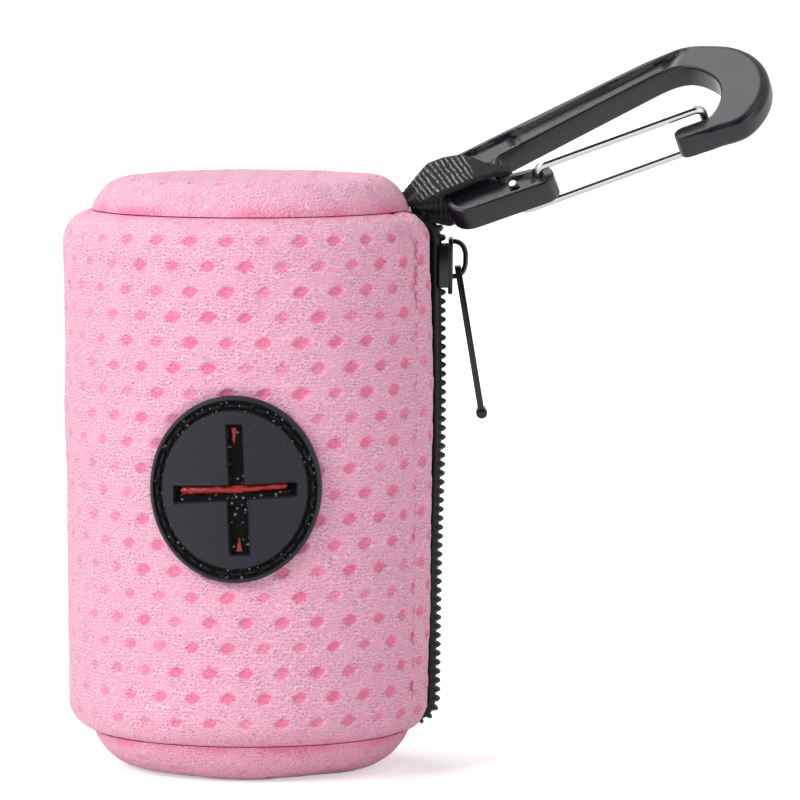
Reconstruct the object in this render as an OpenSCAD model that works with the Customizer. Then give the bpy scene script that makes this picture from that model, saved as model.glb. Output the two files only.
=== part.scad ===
// Dog poop bag dispenser: a zipped round mesh pouch that holds a bag roll, with a slit patch that the
// bags are pulled through, and a webbing loop that carries a wire gate carabiner.
// Millimetres. +Z is up along the pouch's axis and the origin is the centre of its flat underside.
// The slit patch faces -Y and the zip is at +X.

/* [Pouch] */
// Radius of the pouch wall at its top shoulder
wall_top_r = 24.9; // [22:0.1:28]
// Radius of the pouch wall at its bottom shoulder
wall_bottom_r = 24.2; // [21:0.1:27]
// Thickness of the mesh fabric
mesh_t = 2.4; // [1.6:0.1:3]
// Height of the whole pouch
pouch_h = 78.4; // [76:0.2:84]
// Half angle of the gap that the zip fills
zip_gap_deg = 12; // [12:1:20]

/* [Zip] */
// Width of the closed chain
chain_w = 4.4; // [4:0.1:5]
// Distance from one tooth to the next on the same side
tooth_pitch = 1.2; // [1.1:0.05:1.6]
// How far the coils stand proud of the fabric
coil_proud = 0.9; // [0.6:0.1:1.2]
// Length of the slider
slider_l = 8; // [7:0.2:9]
// Length of the pull tab from its pivot
pull_l = 20; // [14:0.5:22]

/* [Slit patch] */
// Width of the rubber patch
patch_w = 22.6; // [20:0.2:24]
// Height of the rubber patch
patch_h = 24.2; // [22:0.2:26]
// Height of the patch's centre
patch_z = 39.2; // [34:0.2:44]
// Length of the cross groove's arms
cross_l = 17; // [14:0.5:18]

/* [Bag roll] */
// Radius of a full roll
roll_r = 15.5; // [12:0.5:16]
// Length of the roll
roll_l = 62; // [56:1:63]

/* [Carabiner] */
// Thickness of the frame
frame_t = 3.8; // [3.4:0.1:4.2]
// Outer radius of the hook
hook_r = 8.8; // [8.5:0.1:9]
// Diameter of the gate's wire
wire_d = 1.1; // [0.9:0.1:1.2]
// Climb of the carabiner from level
carabiner_climb = 20; // [15:1:30]
// Lean of the carabiner's plane back from upright
carabiner_lean = 50; // [45:1:60]

/* [Hidden] */
$fn = 96;
FREE = 0.3;
NEAR = 0.05;
HAIR = 0.005;
FAR = 200;

// The wall's two shoulders, each a circle in the half plane of the pouch's profile
top_shoulder_r = 4.4;
bottom_shoulder_r = 4.2;
top_shoulder_z = pouch_h - 8.8;
bottom_shoulder_z = 9.2;
top_shoulder_x = wall_top_r - top_shoulder_r;
bottom_shoulder_x = wall_bottom_r - bottom_shoulder_r;
wall_rise = top_shoulder_z - bottom_shoulder_z;
wall_run = top_shoulder_x - bottom_shoulder_x;
wall_line = sqrt(wall_rise * wall_rise + wall_run * wall_run);
wall_normal = -atan2(wall_run, wall_rise) + asin((bottom_shoulder_r - top_shoulder_r) / wall_line);

// The caps' rounded edges
top_cap_edge_r = 5.2;
top_cap_edge_x = 15.8;
top_cap_edge_z = pouch_h - top_cap_edge_r;
bottom_cap_edge_r = 7;
bottom_cap_edge_x = 14.2;

// The seams, where the wall and a cap meet and both turn in
seam_top_r = 20.9;
seam_top_z = 74;
seam_bottom_r = 20.95;
seam_bottom_z = 5.1;
allowance_t = 0.9;
allowance_l = 5;
binding_t = 0.5;
binding_l = 1.8;
seam_stitches = 44;
seam_stitch_l = 2.2;
thread_d = 0.5;

// The zip's layers, measured in from the wall's outer face
coil_t = 2.2;
coil_floor = coil_t - coil_proud;
tape_t = 0.5;
hem_t = coil_floor - 0.05;
tape_deg = 33;
tape_gap_deg = 2.5;
tooth_t = 0.5;
tooth_head = 0.75;
tooth_reach = 0.9;
cord_w = 0.8;
cord_t = 1.2;
cord_in = 1.25;
cord_top = 0.9;
coil_in_deg = 0.7;
coil_out_deg = 5;
chain_low = -58;
tooth_count = floor((-chain_low - 4) / tooth_pitch);
topstitch_deg = 27;
topstitch_pitch = 3.4;
topstitch_l = 2.7;
topstitch_count = 17;

// The slider, in the chain's own frame: X out of the chain, Z along it from the top shoulder
slider_z = -3.2;
slider_w = 6;
slider_gap = 0.25;
slider_plate_t = 0.75;
slider_flange_t = 0.5;
under_plate_t = 0.7;
slider_top = coil_proud + slider_gap;
post_w = 1.5;
post_l = 1.8;
post_z = slider_z + 1.6;
crown_w = 2;
crown_l = 5.4;
crown_h = 1.95;
crown_bar = 0.75;
crown_z = slider_z + 0.9;
pull_bar_r = 0.42;
pull_x = slider_top + slider_plate_t + (crown_h - crown_bar) / 2;
pull_bar_gap = 0.25;
pull_z = crown_z - crown_l / 2 + crown_bar + pull_bar_r + pull_bar_gap;
pull_tilt = 10;
pull_w = 4.6;
pull_eye_w = 2.8;
pull_eye_l = 3.2;
pull_foot_r = 0.75;

// The patch, in the frame of its own centre line
patch_turn = -3.5;
patch_reach_deg = 34;
patch_t = 1.6;
patch_lift = 0.03;
patch_channel_w = 1.3;
patch_channel_d = 0.6;
patch_stitch_in = 1.15;
patch_stitches = 32;
cross_w = 2.6;
cross_d = 0.9;
slit_h = 1.2;
slit_l = 15;
slit_rise = 0.5;
window_r = 8.8;
tail_w = 14;
tail_t = 0.7;

// The roll, standing on the bottom cap
roll_floor = mesh_t + FREE;
core_r = 6.5;
core_bore_r = 4.5;

// The carabiner, in its own frame: X along it, Y from its gate to its spine, Z out of its face
carabiner_pos = [24, 0, 76.5];
hook_c = [38, -1.2];
hook_inner_c = [34.5, -1.85];
hook_inner_r = 5.9;
spine_high = [35.9, 6.15];
spine_high_r = 1.6;
spine_low = [3, 0.3];
spine_low_r = 2.15;
arm_low = [3.6, -5.6];
arm_low_r = 2.55;
arm_end = [13.9, -6.6];
arm_end_r = 1.8;
throat_x = 9.3;
throat_low = -5.9;
throat_high = 1.3;
nose_deg = 238;
spine_deg = 128;
nose_tip = [33.3, -8.15];
nose_tip_r = 1.15;
nose_root = [36.9, -8.35];
nose_root_r = 1.3;
foot_reach = 1.8;
pivot = [12, -6.4];
gate_open = 22;
foot_clear = 0.1;
wire_r = wire_d / 2;
leg_z = frame_t / 2 + wire_r + 0.8;
gate_l = 24.7;
bend_r = 1.6;
foot_proud = frame_t / 2 + 0.2;

// The strap, in the carabiner's frame
strap_t = 1;
strap_root = [-2.1, -0.55];
strap_root_r = 1.1;
strap_face_z = frame_t / 2 + 0.35 + strap_t / 2;
strap_path = [[-0.3, strap_face_z], [throat_x, strap_face_z], [throat_x + 0.85, frame_t / 2],
              [throat_x + 0.85, -frame_t / 2], [throat_x, -strap_face_z], [-0.3, -strap_face_z]];
strap_plan = [[-4, -1], [-2, -1.4], [-0.8, -3.6], [0, -4.6], [4.6, -4.4], [8.9, -3.85], [11, -3.85],
              [11, -0.85], [8.9, -0.85], [5.4, 0.9], [2.4, 1.6], [0, 1.2], [-4, 2.3]];

function wall_r(z) = wall_bottom_r + (wall_top_r - wall_bottom_r) * (z - bottom_shoulder_z) / wall_rise;

// A round bar between two circles, whose straight sides run a hair inside their common tangents
module taper_bar(p, r, q, s) {
    run = q - p;
    along = atan2(run[1], run[0]);
    half = acos((r - s) / norm(run));
    translate(p) circle(r);
    translate(q) circle(s);
    polygon([for (c = [[p, r, -1], [q, s, -1], [q, s, 1], [p, r, 1]])
        c[0] + (c[1] - HAIR) * [cos(along + c[2] * half), sin(along + c[2] * half)]]);
}

// A straight round rod from one point to another
module rod(p, q, r) {
    run = q - p;
    translate(p)
        rotate([0, acos(run[2] / norm(run)), atan2(run[1], run[0])])
            cylinder(h = norm(run), r = r);
}

// Everything inside the wall's outer face moved in by d, between the two seams
module wall_inside(d) {
    tangent = [cos(wall_normal), sin(wall_normal)];
    top_c = [top_shoulder_x, top_shoulder_z];
    bottom_c = [bottom_shoulder_x, bottom_shoulder_z];
    intersection() {
        union() {
            translate(top_c) circle(top_shoulder_r - d);
            translate(bottom_c) circle(bottom_shoulder_r - d);
            polygon([top_c + (top_shoulder_r - d) * tangent, top_c, bottom_c,
                     bottom_c + (bottom_shoulder_r - d) * tangent]);
        }
        translate([seam_top_r, seam_bottom_z - 1]) square([10, seam_top_z - seam_bottom_z + 2]);
    }
}

// A layer of the wall from one depth to another, over part of a turn
module wall_layer(outer, inner, from, to) {
    rotate_extrude(start = from, angle = to - from)
        difference() {
            wall_inside(outer);
            wall_inside(inner);
        }
}

// The seam allowances, which stand inside the pouch side by side: layer 0 is the wall's, 1 the cap's
module allowance(r, z, side, layer, from = 0, to = 360) {
    rotate_extrude(start = from, angle = to - from)
        translate([r - (layer + 1) * allowance_t - layer * NEAR, min(z, z + side * allowance_l)])
            square([allowance_t, allowance_l]);
}

// The tape that wraps both allowances along their free edge
module binding(r, z, side) {
    edge = z + side * (allowance_l + NEAR);
    inner_r = r - 2 * allowance_t - 2 * NEAR;
    rotate_extrude()
        difference() {
            translate([inner_r - binding_t, min(edge + side * binding_t, edge - side * binding_l)])
                square([r + binding_t - inner_r + binding_t + NEAR, binding_l + binding_t]);
            translate([inner_r, min(edge, edge - side * 2 * allowance_l)])
                square([r - inner_r + NEAR, 2 * allowance_l]);
        }
}

// The seam's thread, which shows on the inner side of the binding
module seam_thread(r, z) {
    for (i = [0 : seam_stitches - 1])
        rotate([0, 0, i * 360 / seam_stitches])
            translate([r, -seam_stitch_l / 2, z])
                rotate([-90, 0, 0]) cylinder(h = seam_stitch_l, r = thread_d / 2);
}

module wall_panel() {
    color("#f3a3c0") {
        difference() {
            union() {
                wall_layer(0, mesh_t, tape_deg + 1, 359 - tape_deg);
                wall_layer(0, hem_t, zip_gap_deg, tape_deg + 1);
                wall_layer(0, hem_t, 359 - tape_deg, 360 - zip_gap_deg);
                allowance(seam_top_r, seam_top_z, -1, 0, tape_deg + 1, 359 - tape_deg);
                allowance(seam_bottom_r, seam_bottom_z, 1, 0, tape_deg + 1, 359 - tape_deg);
            }
            rotate([0, 0, patch_turn])
                translate([0, 0, patch_z])
                    rotate([90, 0, 0]) cylinder(h = FAR, r = window_r);
        }
    }
}

module top_cap() {
    color("#f7b4cc") {
        rotate_extrude()
            difference() {
                union() {
                    translate([top_cap_edge_x, top_cap_edge_z]) circle(top_cap_edge_r);
                    translate([0, seam_top_z]) square([top_cap_edge_x, pouch_h - seam_top_z]);
                }
                translate([top_cap_edge_x, top_cap_edge_z]) circle(top_cap_edge_r - mesh_t);
                square([top_cap_edge_x, pouch_h - mesh_t]);
                square([wall_top_r, seam_top_z]);
                translate([-10, 0]) square([10, FAR]);
            }
        allowance(seam_top_r, seam_top_z, -1, 1);
    }
}

module bottom_cap() {
    color("#f7b4cc") {
        rotate_extrude()
            difference() {
                union() {
                    translate([bottom_cap_edge_x, bottom_cap_edge_r]) circle(bottom_cap_edge_r);
                    square([bottom_cap_edge_x, seam_bottom_z]);
                }
                translate([bottom_cap_edge_x, bottom_cap_edge_r]) circle(bottom_cap_edge_r - mesh_t);
                translate([0, mesh_t]) square([bottom_cap_edge_x, FAR]);
                translate([0, seam_bottom_z]) square([wall_top_r, FAR]);
                translate([-10, 0]) square([10, FAR]);
            }
        allowance(seam_bottom_r, seam_bottom_z, 1, 1);
    }
}

module top_seam_binding() {
    color("#e889ab") binding(seam_top_r, seam_top_z, -1);
}

module bottom_seam_binding() {
    color("#e889ab") binding(seam_bottom_r, seam_bottom_z, 1);
}

module top_seam_stitching() {
    color("#f9c7da")
        seam_thread(seam_top_r - 2 * (allowance_t + NEAR) - binding_t - thread_d / 2 - NEAR,
                    seam_top_z - allowance_l + binding_l / 2);
}

module bottom_seam_stitching() {
    color("#f9c7da")
        seam_thread(seam_bottom_r - 2 * (allowance_t + NEAR) - binding_t - thread_d / 2 - NEAR,
                    seam_bottom_z + allowance_l - binding_l / 2);
}

// The zip's own frame: X out of the fabric, Z along the chain, from the top shoulder down
module chain_frame() {
    translate([wall_top_r, 0, top_shoulder_z])
        rotate([0, -wall_normal, 0]) children();
}

// One side's tape, whose inner edge lies under the teeth and clears the slider's post
module zip_tape(side) {
    wall_layer(coil_floor, coil_floor + tape_t,
               side > 0 ? tape_gap_deg : 360 - tape_deg, side > 0 ? tape_deg : 360 - tape_gap_deg);
}

module zip_tape_front() {
    color("#2c2e36") zip_tape(-1);
}

module zip_tape_rear() {
    color("#2c2e36") zip_tape(1);
}

// One tooth's outline across the chain, from its outer edge to past the middle
module tooth(side) {
    reach = coil_t / 2;
    translate([coil_proud - reach, side * (chain_w / 2 - reach)]) circle(reach);
    translate([coil_proud - reach, side * (tooth_head - tooth_reach)]) circle(tooth_head);
    translate([coil_proud - reach - tooth_head,
               side > 0 ? tooth_head - tooth_reach : reach - chain_w / 2])
        square([2 * tooth_head, chain_w / 2 - reach - tooth_head + tooth_reach]);
}

// One side's coil: its teeth, the cord that joins them and the flattened runs into the seams
module zip_coil(side) {
    from = side > 0 ? coil_in_deg : 360 - coil_out_deg;
    chain_frame() {
        for (i = [0 : tooth_count - 1])
            translate([0, 0, chain_low + (i + (side > 0 ? 0.5 : 0)) * tooth_pitch])
                linear_extrude(tooth_t) tooth(side);
        translate([coil_proud - coil_t / 2 - cord_t / 2, side > 0 ? cord_in : -cord_in - cord_w, chain_low])
            cube([cord_t, cord_w, cord_top - chain_low]);
    }
    intersection() {
        wall_layer(0, coil_floor, from, from + coil_out_deg - coil_in_deg);
        union() {
            chain_frame() translate([-20, -10, chain_low - 20]) cube([40, 20, 20]);
            chain_frame() translate([-20, -10, cord_top]) cube([40, 20, 20]);
        }
    }
}

module zip_coil_front() {
    color("#1b1c21") zip_coil(-1);
}

module zip_coil_rear() {
    color("#1b1c21") zip_coil(1);
}

// The stitches that hold the hem down on the tape
module topstitch(side) {
    for (i = [0 : topstitch_count - 1])
        rotate([0, 0, side * topstitch_deg])
            chain_frame()
                translate([thread_d / 2 + NEAR, 0, -topstitch_pitch * (i + 1)])
                    cylinder(h = topstitch_l, r = thread_d / 2);
}

module zip_topstitch_front() {
    color("#e37fa4") topstitch(-1);
}

module zip_topstitch_rear() {
    color("#e37fa4") topstitch(1);
}

module slider_body() {
    flange_x = -coil_floor + slider_gap;
    under_x = -coil_floor - tape_t - slider_gap - under_plate_t;
    color("#17181b")
        chain_frame()
            translate([0, 0, slider_z]) {
                translate([slider_top, -slider_w / 2, -slider_l / 2])
                    cube([slider_plate_t, slider_w, slider_l]);
                for (side = [-1, 1])
                    translate([flange_x, side > 0 ? slider_w / 2 - slider_flange_t : -slider_w / 2,
                               -slider_l / 2])
                        cube([slider_top - flange_x + NEAR, slider_flange_t, slider_l]);
                translate([under_x, -slider_w / 2, -slider_l / 2])
                    cube([under_plate_t, slider_w, slider_l]);
                translate([under_x, -post_w / 2, post_z - slider_z])
                    cube([slider_top - under_x + NEAR, post_w, post_l]);
            }
}

// The arch that the pull hangs from
module slider_crown() {
    color("#17181b")
        chain_frame()
            translate([slider_top + slider_plate_t, crown_w / 2, crown_z])
                rotate([90, 0, 0])
                    linear_extrude(crown_w)
                        difference() {
                            arch(crown_h, crown_l);
                            arch(crown_h - crown_bar, crown_l - 2 * crown_bar);
                        }
}

// A low arch that stands on x = 0, with round shoulders
module arch(h, l) {
    translate([0, -l / 2]) square([h / 2, l]);
    translate([h / 2, h / 2 - l / 2]) square([h / 2, l - h]);
    for (end = [-1, 1])
        translate([h / 2, end * (l - h) / 2]) circle(h / 2);
}

// The pull's own frame: its pivot, with Z up along the tab
module pull_frame() {
    chain_frame()
        translate([pull_x, 0, pull_z])
            rotate([0, -pull_tilt, 0]) children();
}

module pull_tab() {
    color("#1a1b1f")
        pull_frame() {
            difference() {
                union() {
                    translate([-pull_bar_r, -pull_w / 2, -pull_l + pull_foot_r])
                        cube([2 * pull_bar_r, pull_w, pull_l - pull_foot_r]);
                    rotate([90, 0, 0])
                        cylinder(h = pull_w, r = pull_bar_r, center = true);
                }
                translate([-pull_w, -pull_eye_w / 2, -pull_bar_r - pull_eye_l])
                    cube([2 * pull_w, pull_eye_w, pull_eye_l]);
            }
            translate([0, 0, pull_foot_r - pull_l])
                rotate([90, 0, 0])
                    cylinder(h = pull_w, r = pull_foot_r, center = true);
        }
}

// The patch's own frame faces -Y at the pouch's axis
module patch_frame() {
    rotate([0, 0, patch_turn]) children();
}

// What of a flat outline lies between two depths of the wall's face
module on_patch(outer, inner) {
    intersection() {
        wall_layer(outer, inner, 270 - patch_reach_deg, 270 + patch_reach_deg);
        translate([0, -bottom_shoulder_x / 2, patch_z])
            rotate([90, 0, 0])
                linear_extrude(FAR) children();
    }
}

// A round outline, a little taller than wide
module patch_outline(grow) {
    r = patch_w / 2 + grow;
    rise = (patch_h - patch_w) / 2;
    for (end = [-1, 1])
        translate([0, end * rise]) circle(r);
    square([2 * r, 2 * rise], center = true);
}

module slit_patch() {
    face = -patch_lift - patch_t;
    color("#2e2f38")
        patch_frame()
            difference() {
                on_patch(face, -patch_lift) patch_outline(0);
                on_patch(face - 1, face + patch_channel_d)
                    difference() {
                        patch_outline(-patch_stitch_in + patch_channel_w / 2);
                        patch_outline(-patch_stitch_in - patch_channel_w / 2);
                    }
                on_patch(face - 1, face + cross_d) {
                    square([cross_l, cross_w], center = true);
                    square([cross_w, cross_l], center = true);
                }
                on_patch(face - 1, 1)
                    translate([0, slit_rise]) square([slit_l, slit_h], center = true);
            }
}

// A place on the patch's line of stitches
function stitch_at(a) =
    let (x = (patch_w / 2 - patch_stitch_in) * cos(a),
         z = patch_z + (patch_h / 2 - patch_stitch_in) * sin(a),
         r = wall_r(z) + patch_lift + patch_t - patch_channel_d + thread_d / 2 + 2 * NEAR)
    [x, -sqrt(r * r - x * x), z];

module patch_stitching() {
    step = 360 / patch_stitches;
    color("#0e0e10")
        patch_frame()
            for (i = [0 : patch_stitches - 1])
                rod(stitch_at((i - 0.38) * step), stitch_at((i + 0.38) * step), thread_d / 2);
}

// The end of the next bag, drawn out through the slit
module bag_tail() {
    color("#c82a28")
        patch_frame()
            translate([0, 0, patch_z + slit_rise])
                intersection() {
                    difference() {
                        cylinder(h = tail_t, r = wall_bottom_r + patch_t - NEAR, center = true);
                        cylinder(h = 2 * tail_t, r = roll_r + FREE, center = true);
                    }
                    translate([-tail_w / 2, -FAR, -tail_t]) cube([tail_w, FAR, 2 * tail_t]);
                }
}

module bag_roll() {
    color("#b02020")
        translate([0, 0, roll_floor])
            difference() {
                cylinder(h = roll_l, r = roll_r);
                translate([0, 0, -1]) cylinder(h = roll_l + 2, r = core_r);
            }
}

module roll_core() {
    color("#b59b78")
        translate([0, 0, roll_floor])
            difference() {
                cylinder(h = roll_l, r = core_r - NEAR);
                translate([0, 0, -1]) cylinder(h = roll_l + 2, r = core_bore_r);
            }
}

module carabiner_place() {
    translate(carabiner_pos)
        rotate([0, -carabiner_climb, 0])
            rotate([90 - carabiner_lean, 0, 0]) children();
}

// The webbing loop, seen along its width and then cut to its plan
module strap_loop() {
    bars = len(strap_path);
    color("#1c1c20")
        carabiner_place()
            intersection() {
                translate([0, 20, 0])
                    rotate([90, 0, 0])
                        linear_extrude(40) {
                            for (i = [0 : bars - 2])
                                taper_bar(strap_path[i], strap_t / 2, strap_path[i + 1], strap_t / 2);
                            taper_bar(strap_root, strap_root_r, strap_path[0], strap_t / 2);
                            taper_bar(strap_root, strap_root_r, strap_path[bars - 1], strap_t / 2);
                        }
                translate([0, 0, -10]) linear_extrude(20) polygon(strap_plan);
            }
}

// The hook, which narrows from its crown to its nose
module hook_outline() {
    difference() {
        translate(hook_c) circle(hook_r);
        translate(hook_inner_c) circle(hook_inner_r);
        polygon([hook_c, for (a = [spine_deg, (spine_deg + nose_deg) / 2, nose_deg])
            hook_c + 3 * hook_r * [cos(a), sin(a)]]);
    }
    taper_bar(nose_root, nose_root_r, nose_tip, nose_tip_r);
}

// A slot that one foot of the gate moves along as the gate opens
module foot_slot(shut_deg, low) {
    foot_at = function (a) pivot + foot_reach * [cos(a), sin(a)];
    translate([0, 0, low])
        linear_extrude(2 * frame_t)
            taper_bar(foot_at(shut_deg), wire_r + foot_clear,
                      foot_at(shut_deg + gate_open), wire_r + foot_clear);
}

module carabiner_frame() {
    color("#2e2d34")
        carabiner_place()
            difference() {
                linear_extrude(frame_t, center = true) {
                    hook_outline();
                    taper_bar(spine_low, spine_low_r, spine_high, spine_high_r);
                    taper_bar(arm_low, arm_low_r, arm_end, arm_end_r);
                    taper_bar(spine_low, spine_low_r, arm_low, arm_low_r);
                    polygon([arm_low, [throat_x, throat_low], [throat_x, throat_high], spine_low]);
                }
                foot_slot(0, -frame_t / 4);
                foot_slot(180, -frame_t);
            }
}

// The gate's wire: two legs beside the frame, a loop at the nose and a foot into the arm from each side
module wire_gate() {
    loop_x = pivot[0] + gate_l;
    color("#c9cbd0")
        carabiner_place()
            for (side = [1, -1]) {
                foot = [pivot[0] + side * foot_reach, pivot[1], side * leg_z];
                foot_end = [foot[0], foot[1], side > 0 ? foot_clear - frame_t / 4 : foot_proud];
                rod(foot_end, foot, wire_r);
                translate(foot) sphere(wire_r);
                rod(foot, [loop_x - bend_r, foot[1], foot[2]], wire_r);
                translate([loop_x - bend_r, foot[1], side * (leg_z - bend_r)])
                    rotate([90, 0, 0])
                        rotate_extrude(start = side > 0 ? 0 : 270, angle = 90)
                            translate([bend_r, 0]) circle(wire_r);
                rod([loop_x, foot[1], side * (leg_z - bend_r)], [loop_x, foot[1], 0], wire_r);
            }
}

wall_panel();
top_cap();
bottom_cap();
top_seam_binding();
bottom_seam_binding();
top_seam_stitching();
bottom_seam_stitching();
zip_tape_front();
zip_tape_rear();
zip_coil_front();
zip_coil_rear();
zip_topstitch_front();
zip_topstitch_rear();
slider_body();
slider_crown();
pull_tab();
slit_patch();
patch_stitching();
bag_tail();
bag_roll();
roll_core();
strap_loop();
carabiner_frame();
wire_gate();
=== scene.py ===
"""Finishes the dog poop bag dispenser: knitted fabric, zip, slit patch, strap, carabiner and gate.

Lengths are millimetres in the CAD's frame until a mesh is made: +Z up, -Y the slit patch, +X the zip.
"""
import math

import bmesh
import bpy
from mathutils import Matrix, Vector, noise


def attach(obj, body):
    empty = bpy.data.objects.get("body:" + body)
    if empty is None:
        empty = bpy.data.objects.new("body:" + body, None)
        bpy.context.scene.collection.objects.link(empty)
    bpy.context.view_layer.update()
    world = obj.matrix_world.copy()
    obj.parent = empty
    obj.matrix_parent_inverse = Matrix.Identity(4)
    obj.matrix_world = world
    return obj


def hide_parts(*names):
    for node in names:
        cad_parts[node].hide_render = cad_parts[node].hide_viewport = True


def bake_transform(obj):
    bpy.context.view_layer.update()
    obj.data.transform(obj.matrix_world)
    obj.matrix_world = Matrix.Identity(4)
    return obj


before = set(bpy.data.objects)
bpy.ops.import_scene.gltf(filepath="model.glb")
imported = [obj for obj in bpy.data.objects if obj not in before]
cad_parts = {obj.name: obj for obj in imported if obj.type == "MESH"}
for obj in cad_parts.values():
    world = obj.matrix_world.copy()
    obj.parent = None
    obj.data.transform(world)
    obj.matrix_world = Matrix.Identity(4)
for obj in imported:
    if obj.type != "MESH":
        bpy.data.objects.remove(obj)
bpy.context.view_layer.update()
MM = 0.001

# The view: how far off, how high, what it looks at and how much of it the frame takes in
VIEW_DISTANCE = 900
VIEW_ELEVATION = 5
VIEW_CENTRE = Vector((19.7, 0, 48.56))
VIEW_WIDTH = 105.8
SENSOR = 36

# The wall's profile: two shoulders, each (r, z, radius), and the seams where it turns in
TOP_SHOULDER = (20.5, 69.6, 4.4)
BOTTOM_SHOULDER = (20.0, 9.2, 4.2)
WALL_LEAN = math.radians(-0.664)
TOP_SEAM = (20.9, 74.0)
BOTTOM_SEAM = (20.95, 5.1)
WALL_R = 24.6
WALL_LOW_R = BOTTOM_SHOULDER[0] + BOTTOM_SHOULDER[2]
WALL_HIGH_R = TOP_SHOULDER[0] + TOP_SHOULDER[2]
MESH_T = 2.4
HEM_T = 1.25
ALLOWANCE_T = 0.9
ALLOWANCE_L = 4.8

# The caps: where the flat ends, the height of the edge's centre and the edge's radius
TOP_CAP = (15.8, 73.2, 5.2)
BOTTOM_CAP = (14.2, 7.0, 7.0)

# The knit: one hole to a tile, with its rim points shared with the tiles round it
ZIP_GAP = 12
COLUMNS = 30
ROWS = 22
RIM_ACROSS = 6
RIM_UP = 4
HOLE_HALF_W = 1.15
HOLE_HALF_H = 0.8
HOLE_SHAPE = 1.4
HOLE_LEAN = 0.14
# Each ring of a hole: its size, its depth and how much of the floor's painted shade it has
HOLE_RINGS = ((1.75, -0.03, 0.0), (1.35, -0.04, 0.0), (1.08, 0.08, 0.25), (0.86, 0.26, 0.95),
              (0.45, 0.3, 1.0))

# The patch on the wall, its cross and its thread channel
PATCH_TURN = -3.7
PATCH_R = 11.1
PATCH_TALL = 12.1 / 11.1
PATCH_Z = 39.2
PATCH_LIFT = 0.03
PATCH_T = 1.6
CROSS_HALF_L = 8.5
CROSS_HALF_W = 1.3
CHANNEL_R = 10.0
CHANNEL_HALF_W = 0.72
PATCH_STITCHES = 32
FILM_T = 0.06

# The zip: the hem's stitches, the coils, and the tapes from beside the chain to under the hem
TOPSTITCH_IN = 6.44
TOPSTITCH_TURN = 27
TOPSTITCH_PITCH = 3.4
TOPSTITCH_START = 6.2
TOPSTITCHES = 18
COIL_PITCH = 1.2
COIL_START = 0.8
TAPE_GAP = 2.5
TAPE_END = 33
TAPE_IN = 1.3
TAPE_T = 0.5
SLIDER_Z = -3.2

# The round seams' thread
SEAM_STITCHES = 44

# The carabiner's circles, each (centre, radius), its throat for the strap, and its gate's turn and feet
ARM_LOW, ARM_END, SPINE_LOW = ((3.6, -5.6), 2.55), ((13.9, -6.6), 1.8), ((3, 0.3), 2.15)
HOOK, HOLLOW, NOSE = ((38, -1.2), 8.8), ((34.5, -1.85), 5.9), ((33.3, -8.15), 1.15)
FRAME_HALF_T = 1.9
THROAT_X = 9.3
HOOK_DROP = 0.88
GATE_PIVOT = Vector((12, -6.4, 0))
FOOT_REACH = 1.8
GATE_OPEN = 22
WIRE_R = 0.58
STRAP_T = 1.0
RIB_PITCH = 0.69
RIB_H = 0.16

# The carabiner's own plane: X along it, Y from its gate to its spine, Z out of its face
CARABINER_PLACE = (Matrix.Translation((24, 0, 76.5))
                   @ Matrix.Rotation(math.radians(-20), 4, "Y")
                   @ Matrix.Rotation(math.radians(40), 4, "X"))
# The zip's own upright line: Z up the wall from its top shoulder, X out of its face
CHAIN_PLACE = Matrix.Translation((WALL_HIGH_R, 0, TOP_SHOULDER[1])) @ Matrix.Rotation(-WALL_LEAN, 4, "Y")


def smooth(x, low, high):
    """0 below low, 1 above high, and an S curve between."""
    t = min(1.0, max(0.0, (x - low) / (high - low)))
    return t * t * (3 - 2 * t)


def bump(x, centre, width):
    """1 at the centre, and falling away to 0 on both sides over about a width."""
    return math.exp(-((x - centre) / width) ** 2)


# ---------------------------------------------------------------- materials

def linear(code):
    """An sRGB hex colour as linear RGBA."""
    parts = [int(code[i:i + 2], 16) / 255 for i in (1, 3, 5)]
    return tuple(c / 12.92 if c <= 0.04045 else ((c + 0.055) / 1.055) ** 2.4 for c in parts) + (1.0,)


def fill(tree, node, inputs):
    """Gives a node's inputs their values and links."""
    for name, value in inputs.items():
        if isinstance(value, bpy.types.NodeSocket):
            tree.links.new(value, node.inputs[name])
        else:
            node.inputs[name].default_value = value


def add(tree, kind, output, inputs=None, **settings):
    """Adds a node with its settings, values and links, and gives the output that is asked for."""
    node = tree.nodes.new("ShaderNode" + kind)
    for name, value in settings.items():
        setattr(node, name, value)
    fill(tree, node, inputs or {})
    return node.outputs[output]


def new_material(name, inputs):
    """A named material, its tree and its shader, with plain values on the shader's own sockets."""
    made = bpy.data.materials.new(name)
    made.use_nodes = True
    shader = made.node_tree.nodes["Principled BSDF"]
    fill(made.node_tree, shader, inputs)
    return made, made.node_tree, shader


# In a Mix of colours, input 6 is shown at 0, input 7 at 1, and output 2 is the colour

def dress(tree, shader, share, low, high, height, depth):
    """Blends a surface's two colours by a share, and raises it by a height that is depth millimetres deep."""
    fill(tree, shader, {
        "Base Color": add(tree, "Mix", 2, {"Factor": share, 6: low, 7: high}, data_type="RGBA"),
        "Normal": add(tree, "Bump", "Normal", {"Strength": 1.0, "Distance": depth * MM, "Height": height})})


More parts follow.
